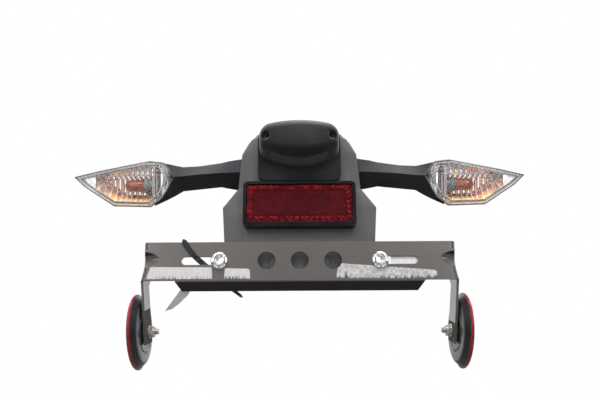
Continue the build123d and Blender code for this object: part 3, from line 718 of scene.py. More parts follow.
@dataclass(frozen=True)
class ClearFinish(Finish):
    """Clear or tinted moulding that light passes through."""

    index: float = 1.49
    haze: float = 0.05
    clear: float = 1.0
    waves: float = 90.0
    wave_depth: float = 0.00001
    grain: float = 600.0
    patch: float = 120.0
    tint: float = 0.96
    # painted shade on the side walls: the share of the colour they keep, and the slopes where it sets in
    edge: float = 1.0
    wall_shade_slopes: Range = (0.5, 0.8)

    def paint(self, skin: Skin) -> None:
        """Let light through, with slight haze, moulding waves and painted shade on its side walls.

        Args:
            skin: The material's nodes.
        """
        skin.drive("Transmission Weight", self.clear)
        skin.drive("IOR", self.index)
        waves = skin.effect(Effect.PIMPLES, Scale=self.waves)
        tone = skin.effect(Effect.GRAIN, Scale=self.grain, Patch=self.patch)["Tone"]
        base = skin.blend(tone, shade(self.colour, self.tint), self.colour)
        # painted shade on walls that face sideways
        wall = skin.spread(skin.maths("ABSOLUTE", skin.facing()["Y"]), *self.wall_shade_slopes, 1.0, 0.0)
        skin.drive("Base Color", skin.blend(wall, base, shade(self.colour, self.edge)))
        skin.drive("Roughness", skin.fade(tone, self.roughness, self.haze))
        skin.bump(waves["Height"], self.wave_depth)


@dataclass(frozen=True)
class RedLensFinish(Finish):
    """Deep red or amber plastic, darker in slow clouds."""

    deep: Colour = (0.05, 0.004, 0.007)
    cloud: float = 55.0
    grain: float = 700.0
    waves: float = 420.0
    wave_depth: float = 0.00001
    dull_more: float = 0.05

    def paint(self, skin: Skin) -> None:
        """Cloud the colour and keep a fine moulded ripple.

        Args:
            skin: The material's nodes.
        """
        tone = skin.effect(Effect.GRAIN, Scale=self.grain, Patch=self.cloud)["Tone"]
        waves = skin.effect(Effect.PIMPLES, Scale=self.waves)
        skin.drive("Base Color", skin.blend(tone, self.deep, self.colour))
        skin.drive("Roughness", skin.fade(waves["Tone"], self.roughness + self.dull_more, self.roughness))
        skin.bump(waves["Height"], self.wave_depth)


@dataclass(frozen=True)
class PrismLensFinish(RedLensFinish):
    """Reflector plastic with painted glints on single prisms, more of them in its border than in its fine
    field.
    """

    # the colour of painted glints on single prisms
    bright: Colour = (0.24, 0.008, 0.016)
    middle_rise: float = 0.0485
    half: Range = (0.0385, 0.0113)
    border_edge: float = 0.0004
    cells: float = 520.0
    cell_lots: Range = (0.35, 0.95)
    field_share: float = 0.14

    def paint(self, skin: Skin) -> None:
        """Paint glints on single prisms, most of all in the border.

        Args:
            skin: The material's nodes.
        """
        super().paint(skin)
        red = skin.driven("Base Color")
        place = skin.place()
        ways = skin.axes(place)
        ahead = skin.times(skin.maths("SUBTRACT", ways["Y"], BRACKET_BACK * MM), LEAN)
        height = skin.times(skin.maths("SUBTRACT", ways["Z"], BRACKET_DOWN * MM), UP)
        rise = skin.maths("SUBTRACT", skin.maths("ADD", ahead, height), self.middle_rise)
        beside = skin.maths("SUBTRACT", skin.maths("ABSOLUTE", ways["X"]), self.half[0])
        beyond = skin.maths("SUBTRACT", skin.maths("ABSOLUTE", rise), self.half[1])
        past = skin.maths("MAXIMUM", beside, beyond)
        border = skin.spread(past, 0.0, self.border_edge, self.field_share)
        cells = skin.add("ShaderNodeTexVoronoi", {"Vector": place, "Scale": self.cells}).outputs["Color"]
        # painted glints
        glint = skin.spread(skin.axes(cells)["X"], *self.cell_lots)
        skin.drive("Base Color", skin.blend(skin.times(border, glint), red, self.bright))


@dataclass(frozen=True)
class PaperFinish(Finish):
    """Paper tape, streaked and soiled from its lower edge upwards."""

    soil: Colour = (0.10, 0.095, 0.09)
    low: float = -0.1155
    high: float = -0.1105
    mottle: float = 0.1
    grain: float = 1300.0
    patch: float = 330.0
    soil_share: float = 0.75
    soil_heights: Range = (0.42, 0.62)
    fibres: float = 620.0
    fibre_long: float = 30.0
    fibre_depth: float = 0.00006
    dull_more: float = 0.1

    def paint(self, skin: Skin) -> None:
        """Streak the paper, most of all near its lower edge.

        Args:
            skin: The material's nodes.
        """
        fibres = skin.effect(Effect.STREAKS, Fine=self.fibres, Long=self.fibre_long)["Height"]
        grain = skin.effect(Effect.GRAIN, Scale=self.grain, Patch=self.patch)
        near = skin.spread(skin.axes(skin.place())["Z"], self.low, self.high, 1.0, 0.0)
        reach = skin.times(near, skin.spread(fibres, *self.soil_heights))
        base = skin.blend(grain["Tone"], shade(self.colour, 1 - self.mottle), self.colour)
        soiled = skin.times(reach, self.soil_share, clamp=True)
        skin.drive("Base Color", skin.blend(soiled, base, self.soil))
        skin.drive("Roughness", skin.fade(grain["Tone"], self.roughness, self.roughness + self.dull_more))
        skin.bump(skin.maths("ADD", fibres, grain["Height"]), self.fibre_depth)


# each finish: its name, colour and roughness, and then what differs from the usual
BODY_PLASTIC = PlasticFinish("body_plastic", (0.116, 0.112, 0.115), 0.46, specular=0.35, spread=0.1)
# the hood's dust also lightens its crown as a painted highlight from above
HOOD_PLASTIC = PlasticFinish(
    "hood_plastic", (0.006, 0.0065, 0.009), 0.4, specular=0.1, sheen=0.3, spread=0.12, dust=0.08
)
LAMP_PLASTIC = PlasticFinish(
    "lamp_plastic", (0.004, 0.0045, 0.0065), 0.22, specular=0.3, spread=0.12, dust=0.02
)
FRAME_PLASTIC = PlasticFinish("frame_plastic", (0.004, 0.0045, 0.0065), 0.24, specular=0.2, dust=0.02)
STALK_PLASTIC = PlasticFinish("stalk_plastic", (0.030, 0.030, 0.035), 0.45, specular=0.08, dust=0.02)
RIM_PLASTIC = PlasticFinish("rim_plastic", (0.12, 0.12, 0.125), 0.3, dust=0.02)
# the signal gasket is coloured light grey as a painted highlight along the lens's rim
SIGNAL_SEAL_PAINTED_HIGHLIGHT = PlasticFinish("signal_seal", (0.55, 0.55, 0.55), 0.4, specular=0.4, dust=0.02)
CUP_PLASTIC = PlasticFinish(
    "cup_plastic", (0.012, 0.0125, 0.015), 0.34, specular=0.4, coat=0.32, coat_roughness=0.16,
    spread=0.1, dust=0.03,
)
HOLDER_PLASTIC = PlasticFinish("holder_plastic", (0.13, 0.145, 0.145), 0.4)
SPACER_PLASTIC = PlasticFinish("spacer_plastic", (0.03, 0.03, 0.032), 0.5)
SEAL_RUBBER = PlasticFinish("seal_rubber", (0.018, 0.018, 0.019), 0.7, specular=0.25, wear_and_highlight=0.1)
TIE_NYLON = PlasticFinish("tie_nylon", (0.014, 0.014, 0.015), 0.34, wear_and_highlight=0.1, dust=0.03)
BRACKET_PAINT = PaintFinish(
    "bracket_paint", (0.090, 0.079, 0.074), 0.42, coat=1.0, coat_roughness=0.2, dull_below=(-0.140, -0.151)
)
MOUNT_STEEL = PaintFinish("mount_steel", (0.03, 0.03, 0.031), 0.38, wear_and_highlight=0.8)
BLACK_SCREW = MetalFinish("black_screw", (0.16, 0.16, 0.165), 0.36)
LAMP_SCREW = MetalFinish("lamp_screw", (0.045, 0.045, 0.047), 0.55)
BOLT_ZINC = MetalFinish("bolt_zinc", (0.80, 0.81, 0.82), 0.18, cloud=0.08)
PLATED_STEEL = MetalFinish("plated_steel", (0.62, 0.60, 0.57), 0.24)
# the bowl's silver, with the bulb's amber, highlights on its ridges and dark streaks painted on as
# reflections
SIGNAL_SILVER = SilverBowlFinish(
    "signal_silver", (0.95, 0.93, 0.93), 0.14, metallic=0.85, cloud=0.06, lines=300.0
)
# the signal lens's side walls carry painted shade
SIGNAL_CLEAR = ClearFinish("signal_clear", (0.985, 0.985, 0.985), 0.03, haze=0.0, index=1.22, edge=0.65)
LAMP_GLASS = ClearFinish("lamp_glass", (0.13, 0.13, 0.14), 0.36, haze=0.3, clear=0.35)
BULB_GLASS = ClearFinish("lamp_bulb_glass", (0.97, 0.97, 0.97), 0.03, haze=0.0)
AMBER_GLASS = RedLensFinish(
    "amber_glass", (0.27, 0.07, 0.035), 0.1, coat=0.6, deep=(0.17, 0.04, 0.025), cloud=160.0
)
REFLECTOR_RED = PrismLensFinish(
    "reflector_red", (0.085, 0.003, 0.006), 0.3, specular=0.06, deep=(0.055, 0.002, 0.004)
)
DISC_RED = RedLensFinish("disc_red", (0.36, 0.020, 0.036), 0.24, specular=0.3, deep=(0.26, 0.012, 0.024))
TAPE_PAPER = PaperFinish("tape_paper", (0.70, 0.67, 0.66), 0.7)
# the paper behind the right slot is lighter than the tape in front: painted light over the shade it lies in
TAPE_BACK_PAINTED_LIGHT = PaperFinish("tape_back", (0.86, 0.84, 0.83), 0.7)
TAPE_WORN = PaperFinish("tape_worn", (0.68, 0.655, 0.65), 0.75, mottle=0.42, patch=420.0)
STRIP_PAPER = PaperFinish(
    "strip_paper", (0.73, 0.73, 0.74), 0.6, soil=(0.3, 0.3, 0.3), low=-0.16, high=-0.12, soil_share=0.4
)

# which finish each node of the part takes when its own solid is shown
NODE_FINISHES: dict[str, Finish] = {
    "body": BODY_PLASTIC,
    "mount_plate": MOUNT_STEEL,
    "mount_plate_screws": BLACK_SCREW,
    "mount_plate_nuts": PLATED_STEEL,
    "lamp_base": LAMP_PLASTIC,
    "lamp_gasket": SEAL_RUBBER,
    "lamp_cover": HOOD_PLASTIC,
    "lamp_lens": LAMP_GLASS,
    "lamp_cover_screws": LAMP_SCREW,
    "lamp_bulb_holder": HOLDER_PLASTIC,
    "lamp_bulb": BULB_GLASS,
    "reflector_frame": FRAME_PLASTIC,
    "reflector_lens": REFLECTOR_RED,
    "reflector_studs": PLATED_STEEL,
    "reflector_nuts": PLATED_STEEL,
    "signal_nuts": PLATED_STEEL,
    "plate_bracket": BRACKET_PAINT,
    "plate_bolts": BOLT_ZINC,
    "plate_nuts": BOLT_ZINC,
    "bracket_studs": PLATED_STEEL,
    "bracket_spacers": SPACER_PLASTIC,
    "bracket_nuts": PLATED_STEEL,
    "cable_tie": TIE_NYLON,
    "left_tape_long": TAPE_PAPER,
    "left_tape_short": TAPE_PAPER,
    "right_tape": TAPE_WORN,
    "right_tape_back": TAPE_BACK_PAINTED_LIGHT,
    "loose_strip": STRIP_PAPER,
}
SIDE_FINISHES: dict[str, Finish] = {
    "signal_arm": STALK_PLASTIC,
    "signal_lens": SIGNAL_CLEAR,
    "signal_gasket": SIGNAL_SEAL_PAINTED_HIGHLIGHT,
    "signal_bowl": SIGNAL_SILVER,
    "signal_bulb": AMBER_GLASS,
    "signal_bulb_socket": HOLDER_PLASTIC,
    "side_reflector_cup": CUP_PLASTIC,
    "side_reflector_lens": DISC_RED,
    "side_reflector_stud": PLATED_STEEL,
    "side_reflector_washer": PLATED_STEEL,
    "side_reflector_nut": PLATED_STEEL,
}


def dress_node(node: str, finish: Finish) -> None:
    """Give a node of the part its finish.

    Args:
        node: The node's name.
        finish: The finish it takes.
    """
    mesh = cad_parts[node].data
    mesh.materials.clear()
    mesh.materials.append(finish.material())


def dress_all_nodes() -> None:
    """Give every node of the part a finish."""
    for node, finish in NODE_FINISHES.items():
        dress_node(node, finish)
    for side in Side:
        for ending, finish in SIDE_FINISHES.items():
            dress_node(f"{side.word}_{ending}", finish)
    LOG.info("dressed %d nodes", len(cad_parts))


@dataclass(frozen=True)
class Seat:
    """A place on the part with its own directions, measured in millimetres from it."""

    origin: Vector
    side: Vector
    rise: Vector
    out: Vector

    def at(self, across: float, up: float, out: float) -> Vector:
        """A point of this place.

        Args:
            across: Distance along its sideways direction.
            up: Distance along its rising direction.
            out: Distance out of it.

        Returns:
            The point in metres, from the mount plate's centre.
        """
        return self.origin + (self.side * across + self.rise * up + self.out * out) * MM


def face_seat(x: float, rise: float, out: float = 0.0) -> Seat:
    """A place on the leaning rear face.

    Args:
        x: Distance to the right of its middle.
        rise: Distance up the face from the bracket's centre.
        out: Distance out of the face.

    Returns:
        The place, facing out of the face.
    """
    return Seat(on_face(x, rise, out), Vector((1, 0, 0)), FACE_RISE, FACE_OUT)


def axis_seat(origin: Vector, axis: Vector) -> Seat:
    """A place that faces along an axis.

    Args:
        origin: Its point in metres.
        axis: The direction it faces.

    Returns:
        The place, with its rising direction as upright as the axis lets it be.
    """
    out = axis.normalized()
    near_upright = abs(out.z) >= 0.9
    level = Vector((0, 1, 0)) if near_upright else Vector((0, 0, 1))
    side = level.cross(out).normalized()
    return Seat(origin, side, out.cross(side), out)


def add_piece(
    name: str, bm: Mesh, finish: Finish, stands_for: Sequence[str] = (), crease: float = 32.0
) -> bpy.types.Object:
    """Turn a mesh into a finished piece of the part.

    Args:
        name: The piece's name.
        bm: Its mesh, which is used up.
        finish: The finish it takes.
        stands_for: The nodes it is shown in place of.
        crease: The angle in degrees from which an edge stays sharp.

    Returns:
        The piece.
    """
    bmesh.ops.recalc_face_normals(bm, faces=bm.faces[:])
    mesh = bpy.data.meshes.new(name)
    bm.to_mesh(mesh)
    bm.free()
    mesh.materials.append(finish.material())
    mesh.polygons.foreach_set("use_smooth", [True] * len(mesh.polygons))
    mesh.set_sharp_from_angle(angle=math.radians(crease))
    piece = bpy.data.objects.new(name, mesh)
    bpy.context.scene.collection.objects.link(piece)
    even = piece.modifiers.new("even_shading", "WEIGHTED_NORMAL")
    even.keep_sharp = True
    even.weight = 100
    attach(piece, ROOT)
    if stands_for:
        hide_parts(*stands_for)
    LOG.info("built %s with %d faces", name, len(mesh.polygons))
    return piece


# in a copy of a node, vertices this near to each other are one, and so are facets this flat
WELD = 0.002 * MM
FLAT_ANGLE = math.radians(0.8)


def welded_copy(node: str) -> Mesh:
    """A copy of a node's mesh with its doubled vertices joined.

    Args:
        node: The node to copy.

    Returns:
        The copy.
    """
    bm = bmesh.new()
    bm.from_mesh(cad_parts[node].data)
    bmesh.ops.remove_doubles(bm, verts=bm.verts[:], dist=WELD)
    return bm


def rounded_copy(node: str, radius: float, segments: int = 2, angle: float = 24.0) -> Mesh:
    """A copy of a node's mesh with its sharp edges rounded off.

    Args:
        node: The node to copy.
        radius: The width of the rounding in millimetres.
        segments: How many steps the rounding has.
        angle: The angle in degrees from which an edge counts as sharp.

    Returns:
        The rounded mesh.
    """
    bm = welded_copy(node)
    bmesh.ops.dissolve_limit(bm, angle_limit=FLAT_ANGLE, verts=bm.verts[:], edges=bm.edges[:])
    sharp = [
        edge for edge in bm.edges
        if len(edge.link_faces) == 2 and edge.calc_face_angle(0.0) > math.radians(angle)
    ]
    bmesh.ops.bevel(
        bm, geom=sharp, offset=radius * MM, offset_type="WIDTH", segments=segments, profile=0.5,
        affect="EDGES", clamp_overlap=True,
    )
    return bm


def loft(bm: Mesh, rows: Rows, ring: bool = False) -> None:
    """Join rows of vertices, each a closed loop, into one surface.

    Args:
        bm: The mesh to add to.
        rows: The rows in order, all of one length.
        ring: Whether the last row joins the first; if not, both get a lid.
    """
    if not ring:
        bm.faces.new(rows[0])
        bm.faces.new(rows[-1])
    for low, high in zip(rows, [*rows[1:], rows[0]] if ring else rows[1:]):
        for step in range(len(low)):
            after = (step + 1) % len(low)
            bm.faces.new((low[step], low[after], high[after], high[step]))


def join_sheet(bm: Mesh, rows: Rows) -> None:
    """Join rows of vertices, each open at its ends, into one sheet.

    Args:
        bm: The mesh to add to.
        rows: The rows in order, all of one length.
    """
    for low, high in zip(rows, rows[1:]):
        for step in range(len(low) - 1):
            bm.faces.new((low[step], low[step + 1], high[step + 1], high[step]))


def thicken(bm: Mesh, by: Vector) -> None:
    """Give a mesh that is one sheet a second side and close its edges.

    Args:
        bm: The mesh.
        by: The way from the sheet to its second side, in metres.
    """
    made = bmesh.ops.extrude_face_region(bm, geom=bm.faces[:], use_keep_orig=True)["geom"]
    backs = [item for item in made if isinstance(item, bmesh.types.BMVert)]
    bmesh.ops.translate(bm, verts=backs, vec=by)


def flat_reach(flats: float, angle: float) -> float:
    """How far a six-sided bar reaches at an angle.

    Args:
        flats: Its size across the flats.
        angle: The angle about its axis.

    Returns:
        The reach from the axis.
    """
    sixth = math.pi / 3
    return flats / 2 / math.cos((angle + sixth / 2) % sixth - sixth / 2)


def lathe(bm: Mesh, seat: Seat, profile: Profile, segments: int = 48, ring: bool = False) -> None:
    """Turn a profile about a place's axis, with six flats where a row asks for them.

    Args:
        bm: The mesh to add to.
        seat: The place, whose out direction is the axis.
        profile: Rows of radius and height, with a third number, the size across flats, where it has them.
        segments: Steps around the axis.
        ring: Whether the last row joins the first, as in a washer.
    """
    rows = []
    for radius, height, *flats in profile:
        row = []
        for step in range(segments):
            angle = math.tau * step / segments
            reach = min(radius, flat_reach(flats[0], angle)) if flats else radius
            row.append(bm.verts.new(seat.at(reach * math.cos(angle), reach * math.sin(angle), height)))
        rows.append(row)
    loft(bm, rows, ring)


# a thread's rows in each turn and at least, its depth for its pitch, and how much shallower its ends are
THREAD_ROWS = 6
THREAD_LEAST_ROWS = 4
THREAD_DEPTH = 0.55
THREAD_END = 0.5


def thread(
    bm: Mesh, seat: Seat, radius: float, low: float, high: float, pitch: float, segments: int = 24
) -> None:
    """Cut a screw thread along a place's axis.

    Args:
        bm: The mesh to add to.
        seat: The place, whose out direction is the axis.
        radius: The thread's outer radius.
        low: Where it starts.
        high: Where it ends.
        pitch: The rise of one turn.
        segments: Steps around the axis.
    """
    steps = max(THREAD_LEAST_ROWS, round((high - low) / pitch * THREAD_ROWS))
    deep = THREAD_DEPTH * pitch
    rows = []
    for count in range(steps + 1):
        height = low + (high - low) * count / steps
        end = min(1.0, (height - low) / pitch, (high - height) / pitch)
        row = []
        for step in range(segments):
            angle = math.tau * step / segments
            turn = (height / pitch - step / segments) % 1.0
            reach = radius - deep * (1.0 - abs(2.0 * turn - 1.0)) - THREAD_END * deep * (1.0 - end)
            row.append(bm.verts.new(seat.at(reach * math.cos(angle), reach * math.sin(angle), height)))
        rows.append(row)
    loft(bm, rows)


# how many of their sides columns of hexagons stand apart, and in how many parts of a millimetre
# their corners are told from each other
HEX_STEP = 1.5
HEX_KEYS = 1000


def prism_field(
    bm: Mesh, seat: Seat, half: Range, inside: Callable[[float, float], bool],
    cell: float, deep: float, floor: float,
) -> None:
    """Lay a field of corner-cube prisms, each a hexagon of three tilted facets, on a closed foot.

    Args:
        bm: The mesh to add to.
        seat: The place, whose out direction the prisms face.
        half: Half the field's width and height.
        inside: Says whether a prism centred at a point belongs to the field.
        cell: Width of a prism across its flats.
        deep: Height of the prisms.
        floor: How far under the prisms' valleys the foot's underside lies.
    """
    corner = cell / math.sqrt(3.0)
    made: dict[tuple[int, int], bmesh.types.BMVert] = {}

    def vert(x: float, y: float, height: float) -> bmesh.types.BMVert:
        """The field's vertex at a point, made on first use."""
        key = (round(x * HEX_KEYS), round(y * HEX_KEYS))
        if key not in made:
            made[key] = bm.verts.new(seat.at(x, y, height))
        return made[key]

    columns = int(half[0] / (HEX_STEP * corner)) + 1
    rows = int(half[1] / cell) + 1
    before = set(bm.edges)
    for column in range(-columns, columns + 1):
        for row in range(-rows, rows + 1):
            x = column * HEX_STEP * corner
            y = (row + 0.5 * (column % 2)) * cell
            if not inside(x, y):
                continue
            middle = vert(x, y, 0.0)
            around = []
            for step in range(6):
                angle = math.pi / 3 * step
                height = deep * (0.5 if step % 2 else 1.0)
                around.append(vert(x + corner * math.cos(angle), y + corner * math.sin(angle), height))
            for step in (1, 3, 5):
                bm.faces.new((middle, around[step], around[(step + 1) % 6], around[(step + 2) % 6]))
    rim = [edge for edge in bm.edges if edge not in before and edge.is_boundary]
    dropped = bmesh.ops.extrude_edge_only(bm, edges=rim)["geom"]
    for item in dropped:
        if isinstance(item, bmesh.types.BMVert):
            item.co -= seat.out * ((item.co - seat.origin).dot(seat.out) + floor * MM)
    edges = [item for item in dropped if isinstance(item, bmesh.types.BMEdge) and item.is_boundary]
    bmesh.ops.holes_fill(bm, edges=edges, sides=0)


def sides_of(points: Outline) -> list[tuple[tuple[float, float], tuple[float, float]]]:
    """The sides of a closed outline, each as its two ends."""
    return list(zip(points, [*points[1:], points[0]]))


def inset_outline(points: Outline, gap: float) -> Outline:
    """An outline moved inwards by one gap all round.

    Args:
        points: The outline's corners, counted against the clock.
        gap: How far inwards.

    Returns:
        The new corners, in the same order.
    """
    lines = []
    for (x0, y0), (x1, y1) in sides_of(points):
        long = math.hypot(x1 - x0, y1 - y0)
        across, along = -(y1 - y0) / long, (x1 - x0) / long
        lines.append((across, along, across * x0 + along * y0 + gap))
    corners = []
    for (a0, b0, c0), (a1, b1, c1) in zip([lines[-1], *lines[:-1]], lines):
        under = a0 * b1 - a1 * b0
        corners.append(((c0 * b1 - c1 * b0) / under, (a0 * c1 - a1 * c0) / under))
    return corners


def span_at(points: Outline, x: float) -> Range:
    """The lowest and highest height of an outline at one distance across.

    Args:
        points: The outline's corners.
        x: The distance across.

    Returns:
        The two heights.
    """
    heights = []
    for (x0, y0), (x1, y1) in sides_of(points):
        if min(x0, x1) <= x <= max(x0, x1) and x0 != x1:
            heights.append(y0 + (y1 - y0) * (x - x0) / (x1 - x0))
    return min(heights), max(heights)


def ramp(points: Outline, x: float) -> float:
    """The height of a line of points at one distance along it, held at its ends.

    Args:
        points: Points in order along the line.
        x: The distance along.

    Returns:
        The height.
    """
    if x <= points[0][0]:
        return points[0][1]
    for (x0, y0), (x1, y1) in zip(points, points[1:]):
        if x <= x1:
            return y0 + (y1 - y0) * (x - x0) / (x1 - x0)
    return points[-1][1]


def evenly(low: float, high: float, parts: int) -> list[float]:
    """The values that divide a range into equal parts, with both its ends."""
    return [low + (high - low) * count / parts for count in range(parts + 1)]


@dataclass
class Shell:
    """The moulded body and the steel plate it hangs from. Lengths here and below are in millimetres."""

    body_round: float = 1.3
    plate_round: float = 0.5
    screw_x: float = 33.0
    screw_rows: Profile = (
        (2.0, -0.2), (3.8, 0.0), (3.8, 0.5), (3.496, 1.2), (2.736, 1.8), (2.0, 2.2), (1.9, 2.2, 2.5),
        (1.8, 0.7, 2.5), (0.3, 0.5),
    )
    shank_radius: float = 2.0
    shank: Range = (-11.2, -0.1)
    pitch: float = 0.7

    def build(self) -> None:
        """Make the body, the plate and its two screws."""
        body = rounded_copy("body", self.body_round, segments=3)
        add_piece("body_moulding", body, BODY_PLASTIC, ["body"])
        plate = rounded_copy("mount_plate", self.plate_round)
        add_piece("mount_plate_pressing", plate, MOUNT_STEEL, ["mount_plate"])
        self.add_screws()

    def add_screws(self) -> None:
        """Make the dome-headed screws that hold the plate to the body."""
        bm = bmesh.new()
        for side in Side:
            seat = axis_seat(Vector((side.value * self.screw_x * MM, 0.0, 0.0)), Vector((0, 0, 1)))
            lathe(bm, seat, self.screw_rows, segments=36)
            thread(bm, seat, self.shank_radius, *self.shank, self.pitch)
        add_piece("mount_screws_domed", bm, BLACK_SCREW, ["mount_plate_screws"])


@dataclass
class PlateLamp:
    """The number plate lamp: base, hood, and the two screws that stand in collars in the hood."""

    base_round: float = 3.6
    hood_rear: float = 2.0
    hood_front: float = 24.0
    dome: float = 6.0
    dome_from: float = 89.0
    dome_to: float = 114.2
    dome_steps: int = 14
    screw_x: float = 27.4
    screw_rise: float = 101.0
    floor: float = 11.0
    collar_radius: float = 4.9
    collar_bore: float = 3.5
    collar_low: float = 6.5
    collar_top: float = 13.6
    collar_ease: float = 0.3
    # the screw's head, with heights from the collar's floor
    head_rows: Profile = (
        (1.5, -0.1), (3.0, 0.0), (3.0, 0.7), (2.7, 1.4), (1.98, 1.85), (1.5, 2.0), (1.45, 2.0, 2.2),
        (1.4, 0.8, 2.2), (0.3, 0.6),
    )
    shank_radius: float = 1.5
    shank_end: float = -5.8
    pitch: float = 1.0

    def build(self) -> None:
        """Make the base, the hood, the collars and the screws."""
        base = rounded_copy("lamp_base", self.base_round, segments=4)
        add_piece("lamp_base_moulding", base, LAMP_PLASTIC, ["lamp_base"])
        self.add_hood()
        self.add_collars()
        self.add_screws()

    def add_hood(self) -> None:
        """Make the hood, its front drawn back in a soft curve towards the crown."""
        bm = welded_copy("lamp_cover")
        start = on_face(0.0, 0.0, 0.0)
        tall = self.dome_to - self.dome_from
        for step in range(self.dome_steps):
            level = on_face(0.0, self.dome_from + tall * step / self.dome_steps, 0.0)
            every = [*bm.verts, *bm.edges, *bm.faces]
            bmesh.ops.bisect_plane(bm, geom=every, plane_co=level, plane_no=FACE_RISE)
        for vert in bm.verts:
            rise = (vert.co - start).dot(FACE_RISE) / MM
            out = (vert.co - start).dot(FACE_OUT) / MM
            climb = min(1.0, max(0.0, (rise - self.dome_from) / tall))
            depth = max(0.0, (out - self.hood_rear) / (self.hood_front - self.hood_rear))
            vert.co.y += self.dome * climb ** 2 * depth * MM
        add_piece("lamp_hood", bm, HOOD_PLASTIC, ["lamp_cover"])

    def add_collars(self) -> None:
        """Make the collars that close the screws' recesses at the hood's corners."""
        bm = bmesh.new()
        bend = (self.collar_radius - self.collar_bore) / 2
        ease = bend * self.collar_ease
        wide, bore, top = self.collar_radius, self.collar_bore, self.collar_top
        profile = [
            (wide, self.collar_low), (wide, top - bend), (wide - ease, top - ease), (wide - bend, top),
            (bore + ease, top - ease), (bore, top - bend), (bore, self.floor),
            (self.shank_radius, self.floor), (self.shank_radius, self.collar_low),
        ]
        for side in Side:
            seat = face_seat(side.value * self.screw_x, self.screw_rise)
            lathe(bm, seat, profile, segments=40, ring=True)
        add_piece("lamp_screw_collars", bm, HOOD_PLASTIC)

    def add_screws(self) -> None:
        """Make the screws with their domed heads and sockets."""
        bm = bmesh.new()
        head = [(radius, self.floor + height, *flats) for radius, height, *flats in self.head_rows]
        for side in Side:
            seat = face_seat(side.value * self.screw_x, self.screw_rise)
            lathe(bm, seat, head, segments=36)
            thread(bm, seat, self.shank_radius, self.shank_end, self.floor, self.pitch, segments=18)
        add_piece("lamp_screws_domed", bm, LAMP_SCREW, ["lamp_cover_screws"])


@dataclass
class RearReflector:
    """The red rear reflector: a rounded frame around a lens of prisms with a border of larger ones."""

    frame_round: float = 0.9
    rise: float = 48.5
    width: float = 86.6
    height: float = 31.6
    corner: float = 2.0
    corner_steps: int = 6
    front: float = -0.2
    back: float = -2.8
    # the slab's front edge, as rows of inset and distance behind the front
    edge_rows: Outline = ((0.0, 1.2), (0.35, 0.85))
    # the fine field and the border of larger prisms
    cell: float = 1.9
    deep: float = 0.4
    foot: float = 0.8
    field_gap: Range = (1.4, 1.2)
    border: float = 4.2
    border_deep: float = 0.7
    border_foot: float = 1.3
    border_margin: float = 2.0
    border_half: float = 0.48

    def build(self) -> None:
        """Make the frame and the lens."""
        rim = rounded_copy("reflector_frame", self.frame_round, segments=3)
        add_piece("reflector_frame_moulding", rim, FRAME_PLASTIC, ["reflector_frame"])
        self.add_lens()

    def add_lens(self) -> None:
        """Make the lens: a slab, its border prisms and the fine field within."""
        bm = bmesh.new()
        self.add_slab(bm)
        self.add_border(bm)
        inner_x = self.width / 2 - self.border - self.field_gap[0]
        inner_y = self.height / 2 - self.border - self.field_gap[1]
        prism_field(
            bm, face_seat(0.0, self.rise, self.front - self.deep), (inner_x, inner_y),
            lambda x, y: abs(x) < inner_x and abs(y) < inner_y, self.cell, self.deep, self.foot,
        )
        add_piece(
            "reflector_lens_prisms", bm, REFLECTOR_RED, ["reflector_lens"], crease=12.0
        )

    def add_slab(self, bm: Mesh) -> None:
        """Add the lens's slab with its rounded corners and eased front edge.

        Args:
            bm: The mesh to add to.
        """
        rows = []
        for inset, out in ((0.0, self.back), *((inset, self.front - gap) for inset, gap in self.edge_rows)):
            row = []
            for turn, (way_x, way_y) in enumerate(((1, 1), (-1, 1), (-1, -1), (1, -1))):
                for step in range(self.corner_steps + 1):
                    angle = math.pi / 2 * (turn + step / self.corner_steps)
                    x = way_x * (self.width / 2 - self.corner) + (self.corner - inset) * math.cos(angle)
                    y = way_y * (self.height / 2 - self.corner) + (self.corner - inset) * math.sin(angle)
                    row.append(bm.verts.new(on_face(x, self.rise + y, out)))
            rows.append(row)
        loft(bm, rows)

    def add_border(self, bm: Mesh) -> None:
        """Add the larger prisms round the border, each a low four-sided point.

        Args:
            bm: The mesh to add to.
        """
        across = self.width - self.border_margin
        up = self.height - self.border_margin
        columns = round(across / self.border)
        rows = round(up / self.border)
        wide = across / columns
        tall = up / rows
        half = self.border_half
        for column in range(columns):
            for row in range(rows):
                if 0 < column < columns - 1 and 0 < row < rows - 1:
                    continue
                x = -across / 2 + wide * (column + 0.5)
                y = self.rise - up / 2 + tall * (row + 0.5)
                low, high = (
                    [
                        bm.verts.new(on_face(x + a * wide, y + b * tall, self.front - deep))
                        for a, b in ((-half, -half), (half, -half), (half, half), (-half, half))
                    ]
                    for deep in (self.border_foot, self.border_deep)
                )
                point = bm.verts.new(on_face(x, y, self.front))
                bm.faces.new(low)
                for step in range(4):
                    after = (step + 1) % 4
                    bm.faces.new((low[step], low[after], high[after], high[step]))
                    bm.faces.new((high[step], high[after], point))


